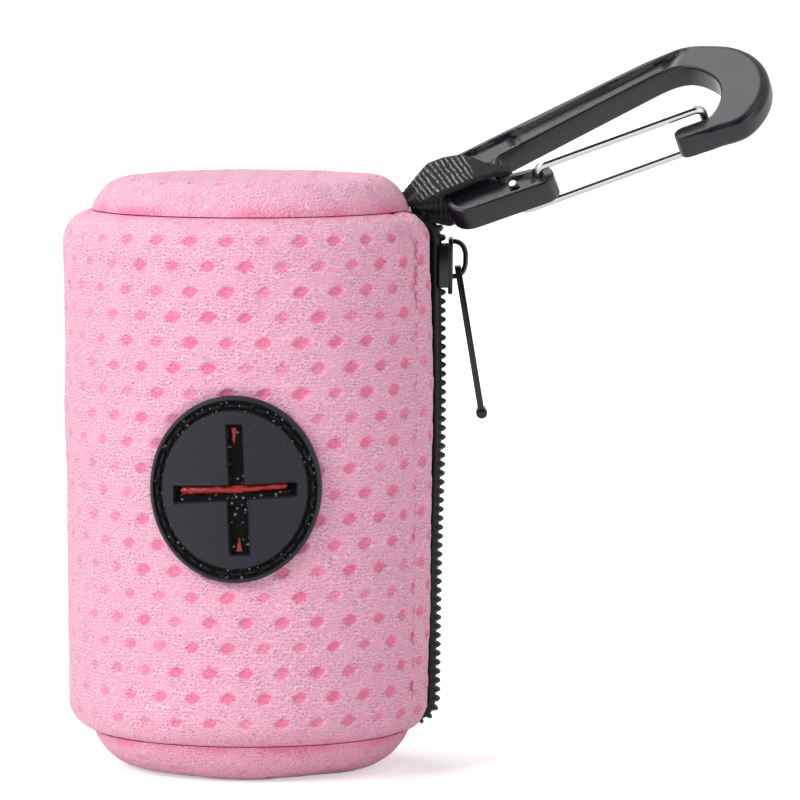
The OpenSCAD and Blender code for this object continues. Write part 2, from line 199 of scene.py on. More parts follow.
def spacer_mesh():
    """Knitted polyester spacer mesh: courses of loops 0.46 mm apart leave slanting mauve pits, the pile
    between them is pale and fuzzy, and each hole's floor gets a deeper pink that is painted shade."""
    made, tree, shader = new_material("knitted polyester spacer mesh", {
        "Roughness": 0.9, "IOR": 1.5, "Specular IOR Level": 0.15, "Sheen Weight": 0.12,
        "Sheen Roughness": 0.5})
    cloth = add(tree, "UVMap", "UV", uv_map="cloth")
    wander = add(tree, "TexNoise", "Color", {"Vector": cloth, "Scale": 0.55, "Detail": 2.0})
    drift = add(tree, "VectorMath", "Vector", {0: wander, "Scale": 1.3}, operation="SCALE")
    thread = add(tree, "VectorMath", "Vector", {0: cloth, 1: drift}, operation="ADD")
    # A loop is 0.54 mm wide, and its pit leans as it rises through the course
    courses = add(tree, "Mapping", "Vector", {"Vector": thread, "Scale": (1 / 0.54, 1 / 0.46, 1)})
    along = add(tree, "SeparateXYZ", "X", {"Vector": courses})
    up = along.node.outputs["Y"]
    in_row = add(tree, "Math", "Value", {0: up}, operation="FRACT")
    lean = add(tree, "Math", "Value", {0: in_row, 1: -0.75, 2: along}, operation="MULTIPLY_ADD")
    slanted = add(tree, "CombineXYZ", "Vector", {"X": lean, "Y": up})
    loops = add(tree, "TexVoronoi", "Distance", {"Vector": slanted, "Scale": 1.0, "Randomness": 0.5},
                voronoi_dimensions="2D")
    pits = add(tree, "MapRange", "Result", {
        "Value": loops, "From Min": 0.12, "From Max": 0.46, "To Min": 1.0, "To Max": 0.0})
    # Slanting strokes deepen some pits, and worn patches fade others
    turned = add(tree, "Mapping", "Vector", {"Vector": thread, "Rotation": (0, 0, -0.8)})
    slant = add(tree, "Mapping", "Vector", {"Vector": turned, "Scale": (1.1, 2.6, 1)})
    strokes = add(tree, "TexNoise", "Fac", {"Vector": slant, "Scale": 1.0, "Detail": 2.0})
    patches = add(tree, "TexNoise", "Fac", {"Vector": cloth, "Scale": 0.3, "Detail": 3.0})
    worn = add(tree, "MapRange", "Result", {
        "Value": patches, "From Min": 0.38, "From Max": 0.6, "To Min": 0.6, "To Max": 1.0})
    deep = add(tree, "MapRange", "Result", {
        "Value": strokes, "From Min": 0.36, "From Max": 0.62, "To Min": 0.45, "To Max": 1.25}, clamp=False)
    shown = add(tree, "Math", "Value", {0: pits, 1: worn}, operation="MULTIPLY")
    shown = add(tree, "Math", "Value", {0: shown, 1: deep}, operation="MULTIPLY", use_clamp=True)
    pile = add(tree, "MapRange", "Result", {"Value": strokes, "From Min": 0.3, "From Max": 0.7})
    yarn = add(tree, "Mix", 2, {"Factor": pile, 6: linear("#F9B0CB"), 7: linear("#FFCFE0")},
               data_type="RGBA")
    face = add(tree, "Mix", 2, {"Factor": shown, 6: yarn, 7: linear("#CC8AAA")}, data_type="RGBA")
    # The holes' floors, and the seams' creases, get a deeper pink: painted shade of the recesses
    floor_shade_pink = add(tree, "Mix", 2, {"Factor": pile, 6: linear("#F47FA8"), 7: linear("#FC9CC0")},
               data_type="RGBA")
    floor = add(tree, "Mix", 2, {"Factor": shown, 6: floor_shade_pink, 7: linear("#E0709A")}, data_type="RGBA")
    # The hole mark is the share of that painted shade
    hole = add(tree, "Attribute", "Fac", attribute_name="hole")
    height = add(tree, "Math", "Value", {0: pile, 1: shown}, operation="SUBTRACT")
    fill(tree, shader, {
        "Base Color": add(tree, "Mix", 2, {"Factor": hole, 6: face, 7: floor}, data_type="RGBA"),
        "Normal": add(tree, "Bump", "Normal", {"Strength": 0.45, "Distance": 0.12 * MM, "Height": height})})
    return made


def woven_tape(name, thread, gap, pitch):
    """Plain woven polyester tape: over and under threads one pitch apart, matt with a faint sheen."""
    made, tree, shader = new_material(name, {"Roughness": 0.8, "Specular IOR Level": 0.2, "IOR": 1.5})
    cloth = add(tree, "UVMap", "UV", uv_map="cloth")
    weave = add(tree, "TexChecker", "Fac", {"Vector": cloth, "Scale": 1 / pitch})
    fuzz = add(tree, "TexNoise", "Fac", {"Vector": cloth, "Scale": 4 / pitch, "Detail": 2.0})
    both = add(tree, "Math", "Value", {0: weave, 1: fuzz}, operation="ADD")
    raised = add(tree, "Math", "Value", {0: both, 1: 0.5}, operation="MULTIPLY")
    dress(tree, shader, raised, linear(gap), linear(thread), raised, 0.05)
    return made


def ribbed_webbing():
    """Woven polyester webbing: ribs across it, whose crowns carry a painted highlight broken into dashes, and
    fine threads.
    """
    made, tree, shader = new_material("ribbed black webbing", {
        "Roughness": 0.75, "IOR": 1.5, "Specular IOR Level": 0.3, "Sheen Weight": 0.1})
    cloth = add(tree, "UVMap", "UV", uv_map="cloth")
    rib = add(tree, "Attribute", "Fac", attribute_name="rib")
    fray = add(tree, "Mapping", "Vector", {"Vector": cloth, "Scale": (3.0, 1.4, 1)})
    highlight_breakup = add(tree, "TexNoise", "Fac", {"Vector": fray, "Scale": 1.3, "Detail": 3.0})
    dashes = add(tree, "MapRange", "Result", {"Value": highlight_breakup, "From Min": 0.36, "From Max": 0.58})
    crown = add(tree, "MapRange", "Result", {"Value": rib, "From Min": 0.78, "From Max": 0.98})
    # Pale dashes on the rib crowns: a painted highlight
    pale = add(tree, "Math", "Value", {0: dashes, 1: crown}, operation="MULTIPLY")
    threads = add(tree, "TexChecker", "Fac", {"Vector": cloth, "Scale": 1 / 0.35})
    dress(tree, shader, pale, linear("#0B0B0D"), linear("#AAAAAF"), threads, 0.05)
    return made


def sewing_thread(name, light, dark):
    """Twisted polyester thread: light and dark plies that cross it on a slant, with a soft shine."""
    made, tree, shader = new_material(name, {"Roughness": 0.6, "Specular IOR Level": 0.2, "IOR": 1.5})
    place = add(tree, "TexCoord", "Object")
    turned = add(tree, "Mapping", "Vector", {"Vector": place, "Rotation": (0.5, 0.6, 0.4)})
    plies = add(tree, "TexWave", "Fac", {"Vector": turned, "Scale": 450.0, "Distortion": 1.5})
    dress(tree, shader, plies, linear(dark), linear(light), plies, 0.08)
    return made


def moulded_plastic(name, colour, worn, roughness, shine):
    """Injection moulded plastic: even colour, a mould grain 0.25 mm wide and slightly paler high spots."""
    made, tree, shader = new_material(name, {"IOR": 1.48, "Specular IOR Level": shine})
    place = add(tree, "TexCoord", "Object")
    grain = add(tree, "TexNoise", "Fac", {"Vector": place, "Scale": 1000 / 0.25, "Detail": 3.0})
    cloud = add(tree, "TexNoise", "Fac", {"Vector": place, "Scale": 180.0, "Detail": 4.0})
    dress(tree, shader, cloud, linear(colour), linear(worn), grain, 0.02)
    fill(tree, shader, {"Roughness": add(tree, "MapRange", "Result", {
        "Value": cloud, "To Min": roughness - 0.06, "To Max": roughness + 0.1})})
    return made


def one_grain(name, plain, low, high, scale, detail, depth):
    """A surface whose colour and height, depth millimetres deep, follow one noise."""
    made, tree, shader = new_material(name, plain)
    place = add(tree, "TexCoord", "Object")
    grain = add(tree, "TexNoise", "Fac", {"Vector": place, "Scale": scale, "Detail": detail})
    dress(tree, shader, grain, linear(low), linear(high), grain, depth)
    return made


def patch_rubber():
    """Moulded matt rubber: a fine grain on the disc, and in its sunk cross and thread channel a near black of
    painted shade, with pale flecks of painted glint.
    """
    made, tree, shader = new_material("moulded matt rubber", {"IOR": 1.5, "Specular IOR Level": 0.25})
    place = add(tree, "TexCoord", "Object")
    grain = add(tree, "TexNoise", "Fac", {"Vector": place, "Scale": 5200.0, "Detail": 3.0})
    glint_cells = add(tree, "TexVoronoi", "Distance", {"Vector": place, "Scale": 1300.0})
    # The groove mark darkens the sunk cross and the thread channel as painted shade, speckled with painted
    # glints
    groove = add(tree, "Attribute", "Fac", attribute_name="groove")
    face = add(tree, "Mix", 2, {"Factor": grain, 6: linear("#0C0C10"), 7: linear("#34343D")},
               data_type="RGBA")
    painted_glint = add(tree, "MapRange", "Result", {
        "Value": glint_cells, "From Min": 0.12, "From Max": 0.26, "To Min": 1.0, "To Max": 0.0})
    floor = add(tree, "Mix", 2, {"Factor": painted_glint, 6: linear("#040405"), 7: linear("#7E8288")},
                data_type="RGBA")
    dress(tree, shader, groove, face, floor, grain, 0.03)
    fill(tree, shader, {"Roughness": add(tree, "MapRange", "Result", {
        "Value": groove, "To Min": 0.55, "To Max": 0.95})})
    return made


def polished_wire():
    """Drawn stainless wire, polished: a bright mirror whose polish is a little uneven."""
    made, tree, shader = new_material("polished stainless wire", {
        "Metallic": 1.0, "Base Color": linear("#B8B9BE")})
    place = add(tree, "TexCoord", "Object")
    polish = add(tree, "TexNoise", "Fac", {"Vector": place, "Scale": 600.0, "Detail": 3.0})
    fill(tree, shader, {
        "Roughness": add(tree, "MapRange", "Result", {"Value": polish, "To Min": 0.1, "To Max": 0.24}),
        "Normal": add(tree, "Bump", "Normal", {"Strength": 1.0, "Distance": 0.01 * MM, "Height": polish})})
    return made


FABRIC = spacer_mesh()
BINDING = woven_tape("woven pink binding tape", "#EFA0BE", "#D4698F", 0.5)
ZIP_TAPE = woven_tape("woven black zip tape", "#2B2C33", "#101114", 0.45)
WEBBING = ribbed_webbing()
PINK_THREAD = sewing_thread("pink polyester thread", "#F6B2CB", "#DD86A8")
BLACK_THREAD = sewing_thread("black waxed thread", "#141416", "#030304")
COIL_NYLON = moulded_plastic("set nylon coil", "#0D0E11", "#17181C", 0.4, 0.25)
ACETAL = moulded_plastic("moulded black acetal", "#131218", "#1C1B22", 0.24, 0.42)
RUBBER = patch_rubber()
WIRE = polished_wire()
# Stoved black enamel on cast zinc: a clear gloss with a slight orange peel
ENAMEL_LOOK = {"Roughness": 0.3, "Specular IOR Level": 0.2, "Coat Weight": 0.3, "Coat Roughness": 0.08,
               "IOR": 1.5}
ENAMEL = one_grain("black enamel on zinc", ENAMEL_LOOK, "#060608", "#0E0E12", 900.0, 2.0, 0.015)
PULL_ENAMEL = one_grain("black enamel on pull tab", ENAMEL_LOOK, "#060608", "#0E0E12", 900.0, 2.0, 0.015)
# Blown polyethylene film, dyed red: thin, crinkled and softly shining
FILM = one_grain("blown red polyethylene film", {"Roughness": 0.38, "IOR": 1.51, "Transmission Weight": 0.08},
                 "#6E1013", "#B8221F", 700.0, 4.0, 0.25)
# Spiral wound kraft board: matt paper with mottled brown fibres
BOARD = one_grain("spiral wound kraft board", {"Roughness": 0.85, "IOR": 1.5}, "#8F7450", "#C4A77C",
                  1500.0, 5.0, 0.04)


# ---------------------------------------------------------------- making meshes

def put_in_scene(name, data):
    """An object for a mesh, a camera or a lamp, linked into the scene."""
    made = bpy.data.objects.new(name, data)
    bpy.context.scene.collection.objects.link(made)
    return made


def basic_shape(operator, **settings):
    """One of Blender's basic shapes, added with nothing else selected."""
    bpy.ops.object.select_all(action="DESELECT")
    operator(**settings)
    return bpy.context.object


def grid_faces(across, along):
    """The faces of a grid of points, row by row."""
    return [(a, a + 1, a + across + 2, a + across + 1)
            for j in range(along) for a in range(j * (across + 1), j * (across + 1) + across)]


def band_faces(here, there, count):
    """The faces between two rings of count points, each given by its first point."""
    return [(here + k, here + (k + 1) % count, there + (k + 1) % count, there + k) for k in range(count)]


def bend(start, corner, end, steps):
    """Points on a round bend from start to end that leans to a corner."""
    shares = [k / steps for k in range(steps + 1)]
    return [(1 - t) ** 2 * start + 2 * t * (1 - t) * corner + t * t * end for t in shares]


def make_piece(name, points, faces, uvs=None, marks=None, mark_name="hole"):
    """A mesh object from points in millimetres, with a UV map in millimetres and one painted value."""
    mesh = bpy.data.meshes.new(name)
    mesh.from_pydata([Vector(p) * MM for p in points], [], faces)
    if uvs:
        layer = mesh.uv_layers.new(name="cloth")
        corners = [0] * len(mesh.loops)
        mesh.loops.foreach_get("vertex_index", corners)
        layer.data.foreach_set("uv", [x for v in corners for x in uvs[v]])
    if marks:
        mesh.attributes.new(mark_name, "FLOAT", "POINT").data.foreach_set("value", marks)
    return put_in_scene(name, mesh)


def take(obj):
    """Selects one object alone and makes it active."""
    bpy.ops.object.select_all(action="DESELECT")
    obj.select_set(True)
    bpy.context.view_layer.objects.active = obj
    return obj


def edit(obj, *steps):
    """Runs edit mode steps on all of an object's mesh."""
    take(obj)
    bpy.ops.object.mode_set(mode="EDIT")
    bpy.ops.mesh.select_all(action="SELECT")
    for step in steps:
        step()
    bpy.ops.object.mode_set(mode="OBJECT")


def modify(obj, kind, **settings):
    """Adds a modifier and applies it."""
    take(obj)
    modifier = obj.modifiers.new(kind.lower(), kind)
    for name, value in settings.items():
        setattr(modifier, name, value)
    bpy.ops.object.modifier_apply(modifier=modifier.name)


def merge_and_face_out(obj, gap=0.002):
    """Merges points that meet within a gap and turns the faces outwards."""
    edit(obj, lambda: bpy.ops.mesh.remove_doubles(threshold=gap * MM),
         lambda: bpy.ops.mesh.normals_make_consistent(inside=False))


def finish_piece(obj, body, material, nodes, angle=40):
    """Gives a piece its finish and smooth faces, and ties it to its body; given more than a body's name, it
    only bakes the piece's place into its points.
    """
    obj.data.materials.clear()
    obj.data.materials.append(material)
    take(obj)
    bpy.ops.object.shade_smooth_by_angle(angle=math.radians(angle))
    if isinstance(body, str):
        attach(obj, body)
    else:
        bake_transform(obj)
    if nodes:
        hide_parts(*nodes)
    return obj


def join(name, *parts):
    """Makes one named object of several."""
    take(parts[0])
    for part in parts[1:]:
        part.select_set(True)
    bpy.ops.object.join()
    parts[0].name = name
    parts[0].data.name = name
    return parts[0]


def repeat(name, model, places):
    """One mesh of copies of a model, each moved by its own matrix, in millimetres."""
    whole = bmesh.new()
    for place in places:
        copy = model.data.copy()
        copy.transform(Matrix.Scale(MM, 4) @ place @ Matrix.Scale(1 / MM, 4))
        whole.from_mesh(copy)
        bpy.data.meshes.remove(copy)
    mesh = bpy.data.meshes.new(name)
    whole.to_mesh(mesh)
    whole.free()
    bpy.data.objects.remove(model, do_unlink=True)
    return put_in_scene(name, mesh)


def move_mm(obj, place):
    """Moves a mesh's own points by a matrix in millimetres."""
    obj.data.transform(Matrix.Scale(MM, 4) @ place @ Matrix.Scale(1 / MM, 4))


def tube(path, half_w, half_h, sides=8, up=Vector((0, 0, 1)), closed=False):
    """Points and faces of a bar with an oval section along a path; half_h lies along up."""
    points, faces = [], []
    count = len(path)
    for i, here in enumerate(path):
        after = path[(i + 1) % count] if closed or i < count - 1 else here
        before = path[i - 1] if closed or i > 0 else here
        along = (after - before).normalized()
        across = along.cross(up).normalized()
        tall = across.cross(along)
        for k in range(sides):
            a = math.tau * k / sides
            points.append(here + across * (half_w * math.cos(a)) + tall * (half_h * math.sin(a)))
    for i in range(count if closed else count - 1):
        faces += band_faces(i * sides, (i + 1) % count * sides, sides)
    if not closed:
        faces.append(tuple(range(sides)))
        faces.append(tuple(range(count * sides - 1, (count - 1) * sides - 1, -1)))
    return points, faces


def rounded_path(corners, radius, steps=5):
    """A path through corners, each turned on a round bend."""
    path = [corners[0]]
    for before, here, after in zip(corners, corners[1:], corners[2:]):
        arrive, leave = (here - before).normalized(), (after - here).normalized()
        turn = arrive.angle(leave)
        room = min((here - before).length, (after - here).length) * 0.49
        cut = min(radius * math.tan(turn / 2), room)
        path += bend(here - arrive * cut, here, here + leave * cut, steps)
    path.append(corners[-1])
    return path


def block(name, size, centre, corner=0.0, bevel=0.2):
    """A cube shaped to size, with its edges along X rounded by corner and then all its edges by bevel."""
    made = basic_shape(bpy.ops.mesh.primitive_cube_add, size=1, location=(0, 0, 0))
    made.name = name
    made.data.transform(Matrix.Translation(Vector(centre) * MM)
                        @ Matrix.Diagonal((*[side * MM for side in size], 1)))
    if corner:
        mesh = bmesh.new()
        mesh.from_mesh(made.data)
        along_x = [e for e in mesh.edges
                   if abs(e.verts[0].co.x - e.verts[1].co.x) > 0.5 * size[0] * MM]
        bmesh.ops.bevel(mesh, geom=along_x, offset=corner * MM, segments=6, affect="EDGES", profile=0.5)
        mesh.to_mesh(made.data)
        mesh.free()
    modify(made, "BEVEL", width=bevel * MM, segments=3, limit_method="ANGLE",
           angle_limit=math.radians(35))
    return made


# ---------------------------------------------------------------- the knitted panels

def tile_rim(left, low, wide):
    """The shared points round one tile, anticlockwise, counted in rim points along and up."""
    right, high = left + wide, low + RIM_UP
    return ([(x, low) for x in range(left, right)] + [(right, y) for y in range(low, high)]
            + [(x, high) for x in range(right, left, -1)] + [(left, y) for y in range(high, low, -1)])


def knit_tiles(tiles, pitch, row, relief, strength):
    """The face of a knit laid flat: its points (u, v, depth, hole), its faces and the rim points' places.

    relief(u, v) is the face's own depth there and strength(u, v) how open a hole is, from 0 to 1.
    """
    points, faces, rims = [], [], {}
    for left, low, wide in tiles:
        keys = tile_rim(left, low, wide)
        for key in keys:
            if key not in rims:
                u, v = key[0] * pitch / RIM_ACROSS, key[1] * row / RIM_UP
                rims[key] = len(points)
                points.append((u, v, relief(u, v), 0.0))
        ring = [rims[key] for key in keys]
        mid_u = (left + wide / 2) * pitch / RIM_ACROSS
        mid_v = (low + RIM_UP / 2) * row / RIM_UP
        open_share = strength(mid_u, mid_v) if wide == RIM_ACROSS else 0.0
        if open_share:
            vary = noise.noise(Vector((mid_u * 0.7, mid_v * 0.7, 3.0)))
            size = (0.93 + 0.16 * vary) * (0.75 + 0.25 * open_share)
            angles = [math.atan2(points[i][1] - mid_v, points[i][0] - mid_u) for i in ring]
            for grow, depth, inside in HOLE_RINGS:
                next_ring = []
                for a in angles:
                    wide_share = abs(math.cos(a)) / (HOLE_HALF_W * size)
                    tall_share = abs(math.sin(a)) / (HOLE_HALF_H * size)
                    share = wide_share ** HOLE_SHAPE + tall_share ** HOLE_SHAPE
                    reach = grow * share ** (-1 / HOLE_SHAPE)
                    u, v = mid_u + reach * math.cos(a), mid_v + reach * math.sin(a)
                    v += HOLE_LEAN * (u - mid_u)
                    next_ring.append(len(points))
                    # The last value is how much of the hole floor's painted shade a point gets
                    points.append((u, v, relief(u, v) + depth * open_share, inside * open_share))
                for k, (a, b) in enumerate(zip(ring, ring[1:] + ring[:1])):
                    faces.append((a, b, next_ring[(k + 1) % len(ring)], next_ring[k]))
                ring = next_ring
        deep = HOLE_RINGS[-1][1] * open_share
        faces += [(a, b, len(points)) for a, b in zip(ring, ring[1:] + ring[:1])]
        points.append((mid_u, mid_v, relief(mid_u, mid_v) + deep, open_share))
    return points, faces, rims


# The seams' angles on the shoulders' circles, the arcs to them and the profile's whole length
LOW_TURN = math.atan2(BOTTOM_SEAM[1] - BOTTOM_SHOULDER[1], BOTTOM_SEAM[0] - BOTTOM_SHOULDER[0])
HIGH_TURN = math.atan2(TOP_SEAM[1] - TOP_SHOULDER[1], TOP_SEAM[0] - TOP_SHOULDER[0])
LOW_ARC = BOTTOM_SHOULDER[2] * (WALL_LEAN - LOW_TURN)
HIGH_ARC = TOP_SHOULDER[2] * (HIGH_TURN - WALL_LEAN)
LINE = math.hypot(TOP_SHOULDER[0] - BOTTOM_SHOULDER[0], TOP_SHOULDER[1] - BOTTOM_SHOULDER[1])
WALL_LENGTH = LOW_ARC + math.sqrt(LINE ** 2 - (TOP_SHOULDER[2] - BOTTOM_SHOULDER[2]) ** 2) + HIGH_ARC
ROW = WALL_LENGTH / ROWS
WALL_GIRTH = math.radians(360 - 2 * ZIP_GAP) * WALL_R
PITCH = WALL_GIRTH / COLUMNS


def wall_profile(s):
    """The wall's outer face at a length s up from its bottom seam: radius, height and outward normal."""
    r0, z0, low_r = BOTTOM_SHOULDER
    r1, z1, high_r = TOP_SHOULDER
    if s < 0 or s > WALL_LENGTH:
        seam_r, seam_z = BOTTOM_SEAM if s < 0 else TOP_SEAM
        into = -s if s < 0 else s - WALL_LENGTH
        up = 1 if s < 0 else -1
        turn = min(into / ALLOWANCE_T, 1.0) * math.pi / 2
        rise = max(0.0, into - ALLOWANCE_T) + ALLOWANCE_T * (1 - math.cos(turn))
        return (seam_r - ALLOWANCE_T * math.sin(turn), seam_z + up * rise,
                -math.sin(turn), -up * math.cos(turn))
    if s < LOW_ARC:
        a = LOW_TURN + s / low_r
        return r0 + low_r * math.cos(a), z0 + low_r * math.sin(a), math.cos(a), math.sin(a)
    if s > WALL_LENGTH - HIGH_ARC:
        a = WALL_LEAN + (s - WALL_LENGTH + HIGH_ARC) / high_r
        return r1 + high_r * math.cos(a), z1 + high_r * math.sin(a), math.cos(a), math.sin(a)
    t = (s - LOW_ARC) / (WALL_LENGTH - LOW_ARC - HIGH_ARC)
    out = Vector((math.cos(WALL_LEAN), math.sin(WALL_LEAN)))
    low, high = Vector((r0, z0)) + out * low_r, Vector((r1, z1)) + out * high_r
    here = low.lerp(high, t)
    return here.x, here.y, out.x, out.y


def on_wall(deg, s, depth=0.0):
    """A point on the wall at an angle, a length up its profile and a depth in from its face."""
    r, z, out_r, out_z = wall_profile(s)
    r, z = r - depth * out_r, z - depth * out_z
    return Vector((r * math.cos(math.radians(deg)), r * math.sin(math.radians(deg)), z))


def wall_angle(u):
    """The angle round the pouch, from the zip, of a length along the wall."""
    return ZIP_GAP + math.degrees(u / WALL_R)


def from_patch(u, v):
    """How far a place on the wall is from the patch's centre."""
    across = math.radians(wall_angle(u) - 270 - PATCH_TURN) * WALL_R
    height = wall_profile(min(max(v, 0), WALL_LENGTH))[1] - PATCH_Z
    return math.hypot(across, height / PATCH_TALL)


def wall_relief(u, v):
    """How far the wall's face is pressed in: at the hem's fold and stitches, the patch and in soft dents.
    Beside the zip it drops away under the shoulder and swells lower down."""
    if v < 0 or v > WALL_LENGTH:
        return 0.0
    hem = min(u, WALL_GIRTH - u)
    ends = smooth(min(v, WALL_LENGTH - v), 0, 5)
    depth = 0.55 * (1 - smooth(hem, 0, 1.3)) + 0.3 * bump(hem, TOPSTITCH_IN, 0.75)
    depth -= 0.22 * ends * bump(hem, 3.2, 2.0)
    by_zip = 1 - smooth(hem, 5, 22)
    depth += by_zip * (0.5 * ends * bump(v, WALL_LENGTH - 8, 7) - 0.28 * bump(v, 44, 18))
    depth += 0.34 * (1 - smooth(from_patch(u, v), PATCH_R - 0.6, PATCH_R + 1.2))
    dents = noise.noise(Vector((u / 11, v / 15, 0.4))) * 0.26
    dents += noise.noise(Vector((u / 4, v / 5, 9))) * 0.1
    return depth + ends * (dents + 0.08) + 0.12 * (1 - ends)


def wall_back(u, v):
    """The depth of the wall's inner face: thin in the hems and the allowances."""
    if v < 0 or v > WALL_LENGTH:
        return ALLOWANCE_T
    thick = HEM_T + (MESH_T - HEM_T) * smooth(min(u, WALL_GIRTH - u), 7.6, 9.2)
    return ALLOWANCE_T + (thick - ALLOWANCE_T) * smooth(min(v, WALL_LENGTH - v), 0, 3)


def wall_fade(u, v):
    """How open a hole is there: less in the seams and hems, and here and there less all over."""
    hem = min(u, WALL_GIRTH - u)
    if v < 0 or v > WALL_LENGTH or from_patch(u, v) < PATCH_R - 1:
        return 0.0
    away = 0.45 + 0.55 * smooth(wall_angle(u), 205, 245)
    faint = 0.62 + 0.6 * smooth(noise.noise(Vector((u / 5.3, v / 4.1, 6.0))), -0.45, 0.3)
    sewn = smooth(hem, 0.2, 2.2) * (1 - 0.7 * bump(hem, TOPSTITCH_IN, 1.1))
    ends = 0.35 + 0.65 * smooth(min(v, WALL_LENGTH - v), 1, 6)
    return min(1.0, faint) * away * sewn * ends


def crease(along, away):
    """How much painted shade, the holes' deeper pink, a seam's crease gets, patch by patch along it."""
    patchy = smooth(noise.noise(Vector((along / 6, 0.3, 1.7))), -0.2, 0.3)
    return bump(away, 0, 1.1) * (0.35 + 0.65 * patchy)


def wall_tiles():
    """Brick rows of tiles over the wall and its two allowances, leaving out the bags' window."""
    tiles = []
    full = COLUMNS * RIM_ACROSS
    for j in range(-1, ROWS + 1):
        offset = RIM_ACROSS // 2 if j % 2 else 0
        starts = [(x, RIM_ACROSS) for x in range(offset, full - RIM_ACROSS + 1, RIM_ACROSS)]
        if offset:
            starts = [(0, offset)] + starts + [(full - offset, offset)]
        for x, wide in starts:
            u, v = (x + wide / 2) * PITCH / RIM_ACROSS, (j + 0.5) * ROW
            if from_patch(u, v) > 7.4 or not 0 < v < WALL_LENGTH:
                tiles.append((x, j * RIM_UP, wide))
    return tiles


def make_wall():
    """The wall: an open knitted face, a plain back and the edges between them."""
    tiles = wall_tiles()
    face, faces, rims = knit_tiles(tiles, PITCH, ROW, wall_relief, wall_fade)
    stretch = ALLOWANCE_L / ROW

    def put(u, v, depth):
        """A place on the wall: past its ends, the allowances' rows are longer."""
        past = min(v, 0.0) + max(v - WALL_LENGTH, 0.0)
        return on_wall(wall_angle(u), min(max(v, 0.0), WALL_LENGTH) + past * stretch, depth)

    points = [put(u, v, depth) for u, v, depth, hole in face]
    uvs = [(u, v) for u, v, depth, hole in face]
    # The seams' creases get the holes' deeper pink too, as painted shade
    holes = [max(hole, crease(u, min(v, WALL_LENGTH - v))) for u, v, depth, hole in face]
    back = {}
    for key, index in rims.items():
        u, v = uvs[index]
        back[key] = len(points)
        points.append(put(u, v, wall_back(u, v)))
        uvs.append((u, v))
        holes.append(0.0)
    steps = set()
    for tile in tiles:
        keys = tile_rim(*tile)
        faces.append([back[key] for key in reversed(keys)])
        steps |= set(zip(keys, keys[1:] + keys[:1]))
    for a, b in steps:
        if (b, a) not in steps:
            faces.append((rims[b], rims[a], back[a], back[b]))
    wall = make_piece("mesh_wall", points, faces, uvs, holes)
    finish_piece(wall, "pouch", FABRIC, ["wall_panel"], 60)
    return wall


